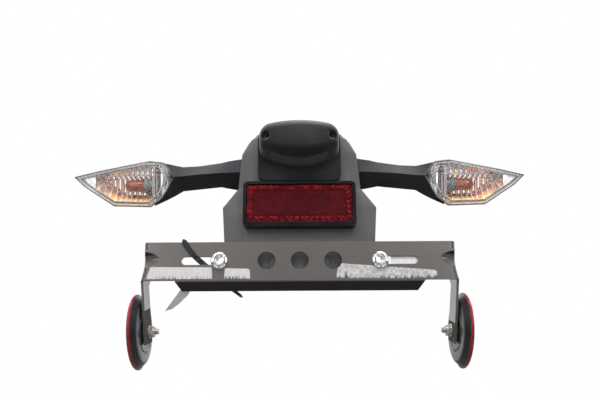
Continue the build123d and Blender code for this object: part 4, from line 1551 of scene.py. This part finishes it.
@dataclass
class TurnSignal:
    """One turn signal: stalk with housing, clear lens, fluted bowl, amber bulb and its socket."""

    side: Side
    arm_round: float = 0.9
    lens_round: float = 0.8
    outline: Outline = (
        (192.0, 68.8), (171.4, 73.7), (128.6, 82.0), (116.5, 80.6), (106.7, 69.2), (118.0, 50.9),
        (127.7, 43.6), (159.0, 44.5), (184.3, 61.3),
    )
    middle: Range = (140.0, 63.0)
    seam: float = 52.0
    # the bead over the seam
    rim_radius: float = 0.7
    rim_back: float = 0.6
    rim_steps: int = 8
    # the bowl, its number of columns and levels, and how it slopes in from its rim
    bowl_gap: float = 1.9
    bowl_end: float = 0.02
    bowl_deep: float = 17.6
    bowl_wall: float = 0.8
    bowl_weld: float = 0.001
    bowl_parts: tuple[int, int] = (226, 84)
    step_half: float = 0.01
    slope_from: float = 0.985
    slope_wide: float = 0.42
    slope_curve: float = 1.15
    # upright flutes, pillows above the ledge, the ledge, the raised cover and the plain tip
    flute: float = 4.3
    flute_deep: float = 0.8
    flute_from: float = 4.0
    pillow: float = 4.2
    pillow_deep: float = 0.45
    ledge_low: float = 67.9
    ledge_high: float = 69.3
    ledge_deep: Range = (11.5, 8.5)
    cover_to: float = 126.0
    cover_rise: float = 1.2
    cover_edge: float = 0.1
    tip_from: float = 175.5
    tip_deep: float = 1.8
    bulb_y: float = 59.5
    bulb_z: float = 61.4
    # the bulb's foot in rows of radius and distance outwards, and its dome
    bulb_rows: Profile = ((3.9, 130.2), (4.2, 134.2), (4.6, 135.6), (5.0, 138.0))
    bulb_radius: float = 5.0
    bulb_middle: float = 146.0
    bulb_angles: Sequence[int] = range(0, 86, 12)
    # the socket's mouth and end, and one of its ribs, measured from where the rib starts
    mouth_rows: Profile = ((4.4, 130.4), (4.4, 134.0), (5.6, 134.0), (6.2, 133.4))
    rib_rows: Profile = ((6.2, 0.0), (5.5, -0.5), (5.5, -1.7), (6.2, -2.2))
    rib_starts: Sequence[float] = (131.0, 126.4, 121.8)
    end_rows: Profile = ((6.2, 116.8), (4.4, 116.8))

    def build(self) -> None:
        """Make the stalk, the lens and what is inside."""
        word = self.side.word
        arm = rounded_copy(f"{word}_signal_arm", self.arm_round)
        add_piece(f"{word}_signal_stalk", arm, STALK_PLASTIC, [f"{word}_signal_arm"])
        lens = rounded_copy(f"{word}_signal_lens", self.lens_round, segments=3)
        window = add_piece(
            f"{word}_signal_window", lens, SIGNAL_CLEAR, [f"{word}_signal_lens"], crease=20.0
        )
        window.visible_shadow = False
        self.add_rim()
        self.add_bowl()
        self.add_bulb()

    def spot(self, x: float, y: float, z: float) -> Vector:
        """A point of this side's signal, with x counted outwards."""
        return on_bike(self.side.value * x, y, z)

    def add_rim(self) -> None:
        """Make the thin bead that covers the seam between housing and lens."""
        bm = bmesh.new()
        rows = []
        for step in range(self.rim_steps):
            angle = math.tau * step / self.rim_steps
            ring = inset_outline(self.outline, -self.rim_radius * math.cos(angle))
            y = self.seam - self.rim_back + self.rim_radius * math.sin(angle)
            rows.append([bm.verts.new(self.spot(x, y, z)) for x, z in ring])
        loft(bm, rows, ring=True)
        add_piece(f"{self.side.word}_signal_rim", bm, RIM_PLASTIC, crease=50.0)

    def edge_share(self, rim: Outline, x: float, z: float) -> float:
        """How near a point is to the bowl's rim.

        Args:
            rim: The rim's corners.
            x: The point's distance outwards.
            z: Its height.

        Returns:
            0 at the bowl's middle and 1 at its rim.
        """
        share = 0.0
        mid_x, mid_z = self.middle
        for (x0, z0), (x1, z1) in sides_of(rim):
            across, along = (z1 - z0), -(x1 - x0)
            reach = across * (x0 - mid_x) + along * (z0 - mid_z)
            share = max(share, (across * (x - mid_x) + along * (z - mid_z)) / reach)
        return share

    def depth_at(self, rim: Outline, x: float, z: float) -> float:
        """How far behind the rim the bowl's silvered face lies.

        Args:
            rim: The rim's corners.
            x: The point's distance outwards.
            z: Its height.

        Returns:
            The depth in millimetres.
        """
        share = self.edge_share(rim, x, z)
        slope = min(1.0, max(0.0, (self.slope_from - share) / self.slope_wide))
        deep = self.bowl_deep * (1.0 - (1.0 - slope) ** self.slope_curve)
        turn = (x / self.flute) % 1.0
        fluted = self.flute_deep * (2.0 * turn - 1.0) ** 2 * min(1.0, deep / self.flute_from)
        if z > self.ledge_high:
            deep = min(deep, self.ledge_deep[1])
            tier = (z / self.pillow) % 1.0
            fluted += self.pillow_deep * (2.0 * tier - 1.0) ** 2 * min(1.0, deep / self.flute_from)
        elif z > self.ledge_low:
            deep = min(deep, self.ledge_deep[0])
        if x < self.cover_to:
            return -self.cover_rise + fluted * min(1.0, (1.0 - share) / self.cover_edge)
        if x > self.tip_from:
            return min(deep, self.tip_deep)
        return max(0.0, deep - fluted)

    def add_bowl(self) -> None:
        """Make the silvered bowl with its upright flutes, ledge and plain tip."""
        rim = inset_outline(self.outline, self.bowl_gap)
        across, heights = zip(*rim)
        columns = evenly(min(across) + self.bowl_end, max(across) - self.bowl_end, self.bowl_parts[0])
        levels = evenly(min(heights), max(heights), self.bowl_parts[1])
        breaks = ((columns, (self.cover_to, self.tip_from)), (levels, (self.ledge_low, self.ledge_high)))
        for line, steps in breaks:
            for step in steps:
                line += [step - self.step_half, step + self.step_half]
            line.sort()
        bm = bmesh.new()
        grid = []
        for x in columns:
            bottom, top = span_at(rim, x)
            held = [min(max(level, bottom), top) for level in levels]
            grid.append([bm.verts.new(self.spot(x, self.seam + self.depth_at(rim, x, z), z)) for z in held])
        join_sheet(bm, grid)
        bmesh.ops.remove_doubles(bm, verts=bm.verts[:], dist=self.bowl_weld * MM)
        thicken(bm, Vector((0.0, self.bowl_wall * MM, 0.0)))
        word = self.side.word
        stands_for = [f"{word}_signal_bowl"]
        add_piece(f"{word}_signal_reflector", bm, SIGNAL_SILVER, stands_for, crease=38.0)

    def add_bulb(self) -> None:
        """Make the amber bulb and the ribbed socket that holds it."""
        word = self.side.word
        seat = axis_seat(self.spot(0.0, self.bulb_y, self.bulb_z), Vector((self.side.value, 0.0, 0.0)))
        bulb = bmesh.new()
        dome = []
        for angle in map(math.radians, self.bulb_angles):
            height = self.bulb_middle + self.bulb_radius * math.sin(angle)
            dome.append((self.bulb_radius * math.cos(angle), height))
        lathe(bulb, seat, [*self.bulb_rows, *dome], segments=40)
        add_piece(
            f"{word}_signal_lamp_bulb", bulb, AMBER_GLASS, [f"{word}_signal_bulb"], crease=60.0
        )
        socket = bmesh.new()
        ribs = [(radius, start + height) for start in self.rib_starts for radius, height in self.rib_rows]
        lathe(socket, seat, [*self.mouth_rows, *ribs, *self.end_rows], segments=40, ring=True)
        stands_for = [f"{word}_signal_bulb_socket"]
        add_piece(f"{word}_signal_lamp_socket", socket, HOLDER_PLASTIC, stands_for)


@dataclass
class PlateBracket:
    """The folded number plate bracket and the two flange bolts in its slots."""

    sheet_round: float = 0.45
    front: float = 1.0
    bolt_x: float = 64.4
    bolt_radius: float = 3.0
    bolt_long: float = 14.0
    pitch: float = 1.0
    # washer face, six flats with a turned chamfer, and dished top
    bolt_rows: Profile = (
        (3.0, -0.3), (6.4, 0.0), (6.8, 0.3), (6.8, 0.8), (6.2, 1.4), (6.073503, 1.6, 10.0),
        (6.073503, 4.2, 10.0), (5.573503, 4.6, 10.0), (4.873503, 5.1, 10.0), (4.3, 5.2), (3.3, 5.2),
        (2.6, 4.9), (0.3, 4.86),
    )
    nut_rows: Profile = (
        (2.9, 0.0), (6.6, 0.0), (7.0, -0.3), (7.0, -0.8), (6.3, -1.4), (6.073503, -1.6, 10.0),
        (6.073503, -5.1, 10.0), (5.173503, -5.8, 10.0), (4.6, -6.0), (3.4, -6.0), (2.9, -5.5),
    )

    def build(self) -> None:
        """Make the sheet, the bolts and the nuts."""
        sheet = rounded_copy("plate_bracket", self.sheet_round)
        add_piece("plate_bracket_sheet", sheet, BRACKET_PAINT, ["plate_bracket"])
        bolts = bmesh.new()
        nuts = bmesh.new()
        for side in Side:
            seat = face_seat(side.value * self.bolt_x, 0.0, self.front)
            lathe(bolts, seat, self.bolt_rows)
            thread(bolts, seat, self.bolt_radius, -self.bolt_long, 0.0, self.pitch)
            lathe(nuts, face_seat(side.value * self.bolt_x, 0.0, -self.front), self.nut_rows, ring=True)
        add_piece("plate_flange_bolts", bolts, BOLT_ZINC, ["plate_bolts"])
        add_piece("plate_flange_nuts", nuts, BOLT_ZINC, ["plate_nuts"])


@dataclass
class SideReflector:
    """One round side reflector: ringed cup, red prism lens, and the stud, washer and nut on the leg."""

    side: Side
    hub: Point = (124.495, 8.024, -57.608)
    axis: Point = (0.9953, 0.0871, -0.0423)
    cup_rows: Profile = (
        (2.6, 0.0), (7.6, 0.0), (8.0, 0.3), (8.0, 1.0), (15.6, 1.0), (16.1, 2.0), (17.0, 2.0),
        (17.5, 1.0), (18.6, 1.0), (22.0, 1.1), (24.6, 1.4), (25.6, 1.9), (26.6, 3.0), (27.8, 4.4),
        (29.0, 5.4), (29.4, 5.8), (2.6, 5.8),
    )
    lens_rows: Profile = (
        (29.6, 5.8), (30.4, 6.3), (30.4, 7.2), (30.0, 7.9), (29.2, 8.4), (27.9, 8.4), (27.5, 8.0),
    )
    lens_face: float = 8.0
    prism_reach: float = 26.3
    cell: float = 2.4
    deep: float = 0.4
    foot: float = 0.4
    stud_radius: float = 2.5
    stud_in: float = -10.4
    pitch: float = 0.8
    stud_rows: Profile = ((2.2, -0.1), (2.3, 3.4))
    washer_rows: Profile = ((2.6, -2.0), (5.0, -2.0), (5.2, -2.2), (5.2, -2.8), (5.0, -3.0), (2.6, -3.0))
    nut_rows: Profile = (
        (2.6, -3.0), (3.6, -3.0), (4.268802, -3.0, 8.0), (4.768802, -3.5, 8.0), (4.768802, -6.6, 8.0),
        (4.168802, -7.2, 8.0), (3.2, -7.2), (2.6, -6.7),
    )

    def build(self) -> None:
        """Make the cup, the lens and the fixings."""
        word = self.side.word
        spot = on_bike(self.side.value * self.hub[0], self.hub[1], self.hub[2])
        seat = axis_seat(spot, Vector((self.side.value * self.axis[0], self.axis[1], self.axis[2])))
        cup = bmesh.new()
        lathe(cup, seat, self.cup_rows, segments=96, ring=True)
        add_piece(
            f"{word}_disc_cup", cup, CUP_PLASTIC, [f"{word}_side_reflector_cup"], crease=50.0
        )
        self.add_lens(seat)
        self.add_fixings(seat)

    def add_lens(self, seat: Seat) -> None:
        """Make the red lens with its eased rim and field of prisms.

        Args:
            seat: The hub on the leg.
        """
        word = self.side.word
        lens = bmesh.new()
        lathe(lens, seat, self.lens_rows, segments=96)
        face = Seat(seat.at(0.0, 0.0, self.lens_face), seat.side, seat.rise, seat.out)
        prism_field(
            lens, face, (self.prism_reach, self.prism_reach),
            lambda x, y: math.hypot(x, y) < self.prism_reach, self.cell, self.deep, self.foot,
        )
        add_piece(
            f"{word}_disc_lens", lens, DISC_RED, [f"{word}_side_reflector_lens"], crease=14.0
        )

    def add_fixings(self, seat: Seat) -> None:
        """Make the threaded stud, the washer and the nut.

        Args:
            seat: The hub on the leg.
        """
        stud, washer, nut = bmesh.new(), bmesh.new(), bmesh.new()
        thread(stud, seat, self.stud_radius, self.stud_in, 0.0, self.pitch)
        lathe(stud, seat, self.stud_rows, segments=24)
        lathe(washer, seat, self.washer_rows, segments=40, ring=True)
        lathe(nut, seat, self.nut_rows, ring=True)
        word = self.side.word
        for name, bm in (("stud", stud), ("washer", washer), ("nut", nut)):
            stands_for = [f"{word}_side_reflector_{name}"]
            add_piece(f"{word}_disc_{name}", bm, PLATED_STEEL, stands_for)


@dataclass
class Tape:
    """One strip of paper tape on the bracket's face, torn into fibres along its lower edge."""

    node: str
    top: Outline
    bottom: Outline
    tears: float
    tear_long: float
    seed: int
    keep_off: Sequence[Point] = ()
    finish: Finish = TAPE_PAPER
    step: float = 0.36
    lift: float = 1.03
    thick: float = 0.22
    back_share: float = 0.6
    crumple: float = 0.07
    top_fray: Range = (-0.12, 0.05)
    plain_fray: float = 0.3
    tear_shares: Range = (0.7, 1.0)
    tear_columns: Sequence[int] = (1, 1, 2, 2, 3)
    least: float = 0.15
    row_shares: Sequence[float] = (0.0, 0.2, 0.45, 0.72, 1.0)

    def build(self) -> None:
        """Make the strip as two torn sheets joined at their edges."""
        draw = random.Random(self.seed)
        left, right = self.top[0][0], self.top[-1][0]
        bm = bmesh.new()
        grid = []
        tear = 0.0
        hold = 0
        for x in evenly(left, right, round((right - left) / self.step)):
            high = self.clear_of(x, ramp(self.top, x) + draw.uniform(*self.top_fray))
            if hold <= 0:
                hold = draw.choice(self.tear_columns)
                torn = draw.random() < self.tears
                tear = self.tear_long * draw.random() ** 2 if torn else self.plain_fray * draw.random()
            hold -= 1
            low = min(ramp(self.bottom, x) + tear * draw.uniform(*self.tear_shares), high - self.least)
            line = []
            for share in self.row_shares:
                out = self.lift + self.thick + draw.uniform(-self.crumple, self.crumple)
                line.append(bm.verts.new(on_face(x, low + (high - low) * share, out)))
            grid.append(line)
        join_sheet(bm, grid)
        thicken(bm, -FACE_OUT * self.thick * self.back_share * MM)
        add_piece(f"{self.node}_torn", bm, self.finish, [self.node], crease=60.0)

    def clear_of(self, x: float, high: float) -> float:
        """A height of the strip's top that keeps under the bolts and holes it passes.

        Args:
            x: The distance to the right.
            high: The height it would have.

        Returns:
            The height it has.
        """
        for mid_x, mid_y, radius in self.keep_off:
            if abs(x - mid_x) < radius:
                high = min(high, mid_y - math.sqrt(radius ** 2 - (x - mid_x) ** 2))
        return high


@dataclass
class CableTie:
    """The nylon tie through the left slot, with raised edges, a ladder of teeth and a rounded tip."""

    # distance to the right, rise, distance out of the face, and the tie's width there
    path: Sequence[tuple[float, float, float, float]] = (
        (-93.6, 17.3, 2.6, 4.2), (-90.0, 11.1, 2.2, 4.4), (-85.2, 5.0, 1.8, 4.4), (-81.9, 1.5, 1.7, 4.4),
        (-77.8, -1.6, -1.9, 4.4), (-71.9, -6.3, -4.6, 4.4), (-64.1, -12.6, -10.0, 4.0),
        (-55.3, -19.8, -13.0, 3.2), (-51.2, -23.2, -12.8, 2.6), (-46.2, -27.3, -12.0, 2.2),
    )
    thick: float = 1.2
    between: int = 14
    groove: float = 0.4
    groove_half: Range = (0.66, 0.72)
    tooth: float = 0.28
    edge: float = 0.2
    under_bevel: float = 0.3
    top_bevel: float = 0.25
    tip_steps: float = 5.0
    tip_starts: Range = (0.25, 0.75)

    def build(self) -> None:
        """Make the tie along its path."""
        points = self.sampled()
        bm = bmesh.new()
        rows = []
        for count, (spot, wide) in enumerate(points):
            ahead = points[min(count + 1, len(points) - 1)][0] - points[max(count - 1, 0)][0]
            across = Vector((-ahead.y, ahead.x, 0.0)).normalized()
            thin = across.cross(ahead.normalized())
            from_start = math.sqrt((count + self.tip_starts[0]) / self.tip_steps)
            to_end = math.sqrt((len(points) - count - self.tip_starts[1]) / self.tip_steps)
            tooth = self.tooth if count % 2 else 0.0
            row = []
            for side, lift in self.section(wide / 2 * min(1.0, from_start, to_end), tooth):
                point = spot + across * side - thin * lift
                row.append(bm.verts.new(on_face(point.x, point.y, point.z)))
            rows.append(row)
        loft(bm, rows)
        add_piece("cable_tie_toothed", bm, TIE_NYLON, ["cable_tie"])

    def section(self, half: float, tooth: float) -> Outline:
        """The tie's section at one point of its path.

        Args:
            half: Half its width there.
            tooth: How far a tooth fills its groove there.

        Returns:
            The section's corners, across and through the tie.
        """
        top = self.thick / 2
        floor = top + (-self.groove + tooth)
        foot, brow = half - self.under_bevel, half - self.top_bevel
        inner, outer = (half * share for share in self.groove_half)
        return [
            (-half, -top + self.edge), (-foot, -top), (foot, -top), (half, -top + self.edge),
            (half, top - self.edge), (brow, top), (outer, top), (inner, floor), (-inner, floor),
            (-outer, top), (-brow, top), (-half, top - self.edge),
        ]

    def sampled(self) -> list[tuple[Vector, float]]:
        """Points close together along the smooth line through the path.

        Returns:
            Each point on the face's own axes, with the tie's width there.
        """
        knots = [Vector(knot) for knot in self.path]
        knots = [knots[0] * 2 - knots[1], *knots, knots[-1] * 2 - knots[-2]]
        points = []
        for k in range(1, len(knots) - 2):
            a, b, c, d = knots[k - 1:k + 3]
            for step in range(self.between):
                t = step / self.between
                point = b + (c - a) * (t / 2) + (a * 2 - b * 5 + c * 4 - d) * (t * t / 2)
                point += (b * 3 - a - c * 3 + d) * (t ** 3 / 2)
                points.append((point.to_3d(), point.w))
        points.append((knots[-2].to_3d(), knots[-2].w))
        return points


# places that tape leaves free: distance to the right, rise and radius
HOLE_KEEP_OFF: tuple[Point, ...] = ((26.6, 0.0, 7.3),)
BOLT_KEEP_OFF: tuple[Point, ...] = ((-64.4, 0.0, 7.1), (64.4, 0.0, 7.1))
TAPES: tuple[Tape, ...] = (
    Tape(
        "left_tape_long", ((-122.2, -14.6), (-119.2, -4.9), (-70.4, -5.4), (-69.7, -14.6)),
        ((-122.2, -14.9), (-69.7, -14.9)), tears=0.3, tear_long=2.4, seed=11, keep_off=BOLT_KEEP_OFF,
    ),
    Tape(
        "left_tape_short", ((-60.2, -12.0), (-59.7, -6.2), (-41.2, -6.6), (-39.6, -8.4), (-39.5, -14.5)),
        ((-60.2, -14.9), (-39.5, -14.9)), tears=0.3, tear_long=2.4, seed=12, keep_off=BOLT_KEEP_OFF,
    ),
    Tape(
        "right_tape", ((29.0, -13.9), (30.6, -2.4), (107.0, -8.3), (109.2, -9.8), (109.4, -12.4)),
        ((29.0, -14.4), (35.2, -14.6), (36.8, -9.8), (38.0, -14.9), (107.0, -14.9), (109.4, -12.8)),
        tears=0.45, tear_long=3.2, seed=13, keep_off=BOLT_KEEP_OFF + HOLE_KEEP_OFF, finish=TAPE_WORN,
    ),
)


@dataclass(frozen=True)
class SoftLamp:
    """One soft lamp: where it hangs, the point it faces, its width and height, and its power in watts."""

    name: str
    place: Point
    aim: Point
    size: Range
    power: float

    def hang(self) -> None:
        """Add the lamp to the scene."""
        data = bpy.data.lights.new(self.name, "AREA")
        data.shape = "RECTANGLE"
        data.size, data.size_y = self.size
        data.energy = self.power
        lamp = bpy.data.objects.new(self.name, data)
        lamp.location = self.place
        lamp.rotation_euler = (Vector(self.aim) - Vector(self.place)).to_track_quat("-Z", "Y").to_euler()
        bpy.context.scene.collection.objects.link(lamp)


def seen_share(graph: Graph, rays: Sockets, ahead: Socket) -> Socket:
    """Where a background shows as itself: to the camera, and behind what mirrors or bends a ray.

    Args:
        graph: The tree to add to.
        rays: What kind of ray it is.
        ahead: How far the background lies behind the part, from 0 to 1.

    Returns:
        The share that shows.
    """
    bent = graph.maths("MAXIMUM", rays["Is Glossy Ray"], rays["Is Transmission Ray"])
    return graph.maths("MAXIMUM", rays["Is Camera Ray"], graph.times(bent, ahead))


@dataclass
class Studio:
    """Camera, lamps, white surroundings and the pale floor. Lengths are in metres."""

    camera_back: float = 0.780
    camera_height: float = -0.0522
    lens: float = 52.5
    sensor: float = 36.0
    roll: float = 0.32
    photo_width: float = 600.0
    centre_column: float = 299.5
    near_clip: float = 0.01
    # the surroundings are white where rays go on behind the part, and grey as light, more so up high
    white_ahead: Range = (-0.25, 0.35)
    grey_heights: Range = (-0.4, 0.9)
    grey_levels: Range = (0.05, 0.42)
    floor_height: float = -0.40
    floor_radius: float = 3.0
    floor_segments: int = 96
    floor_tone: Colour = (0.26, 0.26, 0.26)
    floor_seen: Colour = (0.86, 0.86, 0.86)
    floor_ahead: Range = (0.1, 0.5)
    floor_white: Range = (0.62, 0.72)
    lamps: Sequence[SoftLamp] = (
        SoftLamp("key_softbox", (0.0, -0.55, 0.95), (0.0, -0.05, -0.05), (1.2, 0.6), 9.0),
        SoftLamp("top_softbox", (0.0, 0.5, 1.15), (0.0, 0.0, -0.05), (1.4, 0.9), 18.0),
        SoftLamp("left_softbox", (-0.62, -1.4, 0.92), (0.0, 0.0, -0.05), (0.4, 0.7), 4.0),
        SoftLamp("right_softbox", (0.62, -1.4, 0.92), (0.0, 0.0, -0.05), (0.4, 0.7), 4.0),
        SoftLamp("front_fill", (0.0, -1.9, 0.0), (0.0, 0.0, -0.08), (2.0, 0.5), 5.0),
    )

    def build(self) -> None:
        """Set up everything around the object."""
        scene = bpy.context.scene
        scene.view_settings.view_transform = "Standard"
        self.add_camera(scene)
        for lamp in self.lamps:
            lamp.hang()
        self.add_surroundings(scene)
        self.add_floor()
        LOG.info("studio ready")

    def add_camera(self, scene: bpy.types.Scene) -> None:
        """Stand the camera behind the plate bracket, level with the photograph's middle row.

        Args:
            scene: The scene that looks through it.
        """
        data = bpy.data.cameras.new("camera")
        data.sensor_width = self.sensor
        data.lens = self.lens
        data.shift_x = (self.photo_width / 2 - self.centre_column) / self.photo_width
        data.clip_start = self.near_clip
        camera = bpy.data.objects.new("camera", data)
        camera.location = (0.0, -self.camera_back, self.camera_height)
        camera.rotation_euler = (math.radians(90.0), math.radians(self.roll), 0.0)
        scene.collection.objects.link(camera)
        scene.camera = camera

    def add_surroundings(self, scene: bpy.types.Scene) -> None:
        """Make the surroundings white to look at, and a plain soft grey as light.

        Args:
            scene: The scene that gets them.
        """
        world = bpy.data.worlds.new("surroundings")
        world.use_nodes = True
        scene.world = world
        graph = Graph(world.node_tree)
        rays = graph.add("ShaderNodeLightPath").outputs
        way = graph.axes(graph.add("ShaderNodeTexCoord").outputs["Generated"])
        ahead = graph.spread(way["Y"], *self.white_ahead)
        grey = graph.spread(way["Z"], *self.grey_heights, *self.grey_levels)
        white = seen_share(graph, rays, ahead)
        level = graph.maths("ADD", graph.times(grey, graph.maths("SUBTRACT", 1.0, white)), white)
        back = graph.add("ShaderNodeBackground", {"Color": (1.0, 1.0, 1.0), "Strength": level})
        graph.add("ShaderNodeOutputWorld", {"Surface": back.outputs[0]})

    def add_floor(self) -> None:
        """Lay a pale round floor that fades to white away from the object."""
        bm = bmesh.new()
        bmesh.ops.create_circle(bm, cap_ends=True, segments=self.floor_segments, radius=self.floor_radius)
        mesh = bpy.data.meshes.new("floor")
        bm.to_mesh(mesh)
        bm.free()
        floor = bpy.data.objects.new("floor", mesh)
        floor.location = (0.0, 0.0, self.floor_height)
        bpy.context.scene.collection.objects.link(floor)
        material = bpy.data.materials.new("pale_floor")
        material.use_nodes = True
        self.paint_floor(Graph(material.node_tree))
        mesh.materials.append(material)

    def paint_floor(self, graph: Graph) -> None:
        """Make the floor matt near the part and plain white further away.

        Args:
            graph: The floor's material.
        """
        rays = graph.add("ShaderNodeLightPath").outputs
        place = graph.place()
        away = graph.add("ShaderNodeVectorMath", {0: place}, operation="LENGTH").outputs["Value"]
        far = graph.spread(away, *self.floor_white)
        tone = graph.blend(rays["Is Camera Ray"], self.floor_tone, self.floor_seen)
        matt = graph.add("ShaderNodeBsdfDiffuse", {"Color": tone})
        white = graph.add("ShaderNodeEmission", {"Color": (1.0, 1.0, 1.0), "Strength": 1.0})
        ahead = graph.spread(graph.axes(place)["Y"], *self.floor_ahead)
        share = graph.times(far, seen_share(graph, rays, ahead))
        mixed = graph.add("ShaderNodeMixShader", {0: share, 1: matt.outputs[0], 2: white.outputs[0]})
        graph.add("ShaderNodeOutputMaterial", {"Surface": mixed.outputs[0]})


def main() -> None:
    """Build the studio and dress the part, piece by piece."""
    logging.basicConfig(level=logging.INFO, format="%(name)s: %(message)s")
    Studio().build()
    dress_all_nodes()
    Shell().build()
    PlateLamp().build()
    RearReflector().build()
    PlateBracket().build()
    for side in Side:
        TurnSignal(side).build()
        SideReflector(side).build()
    for tape in TAPES:
        tape.build()
    CableTie().build()


if __name__ == "__main__":
    main()
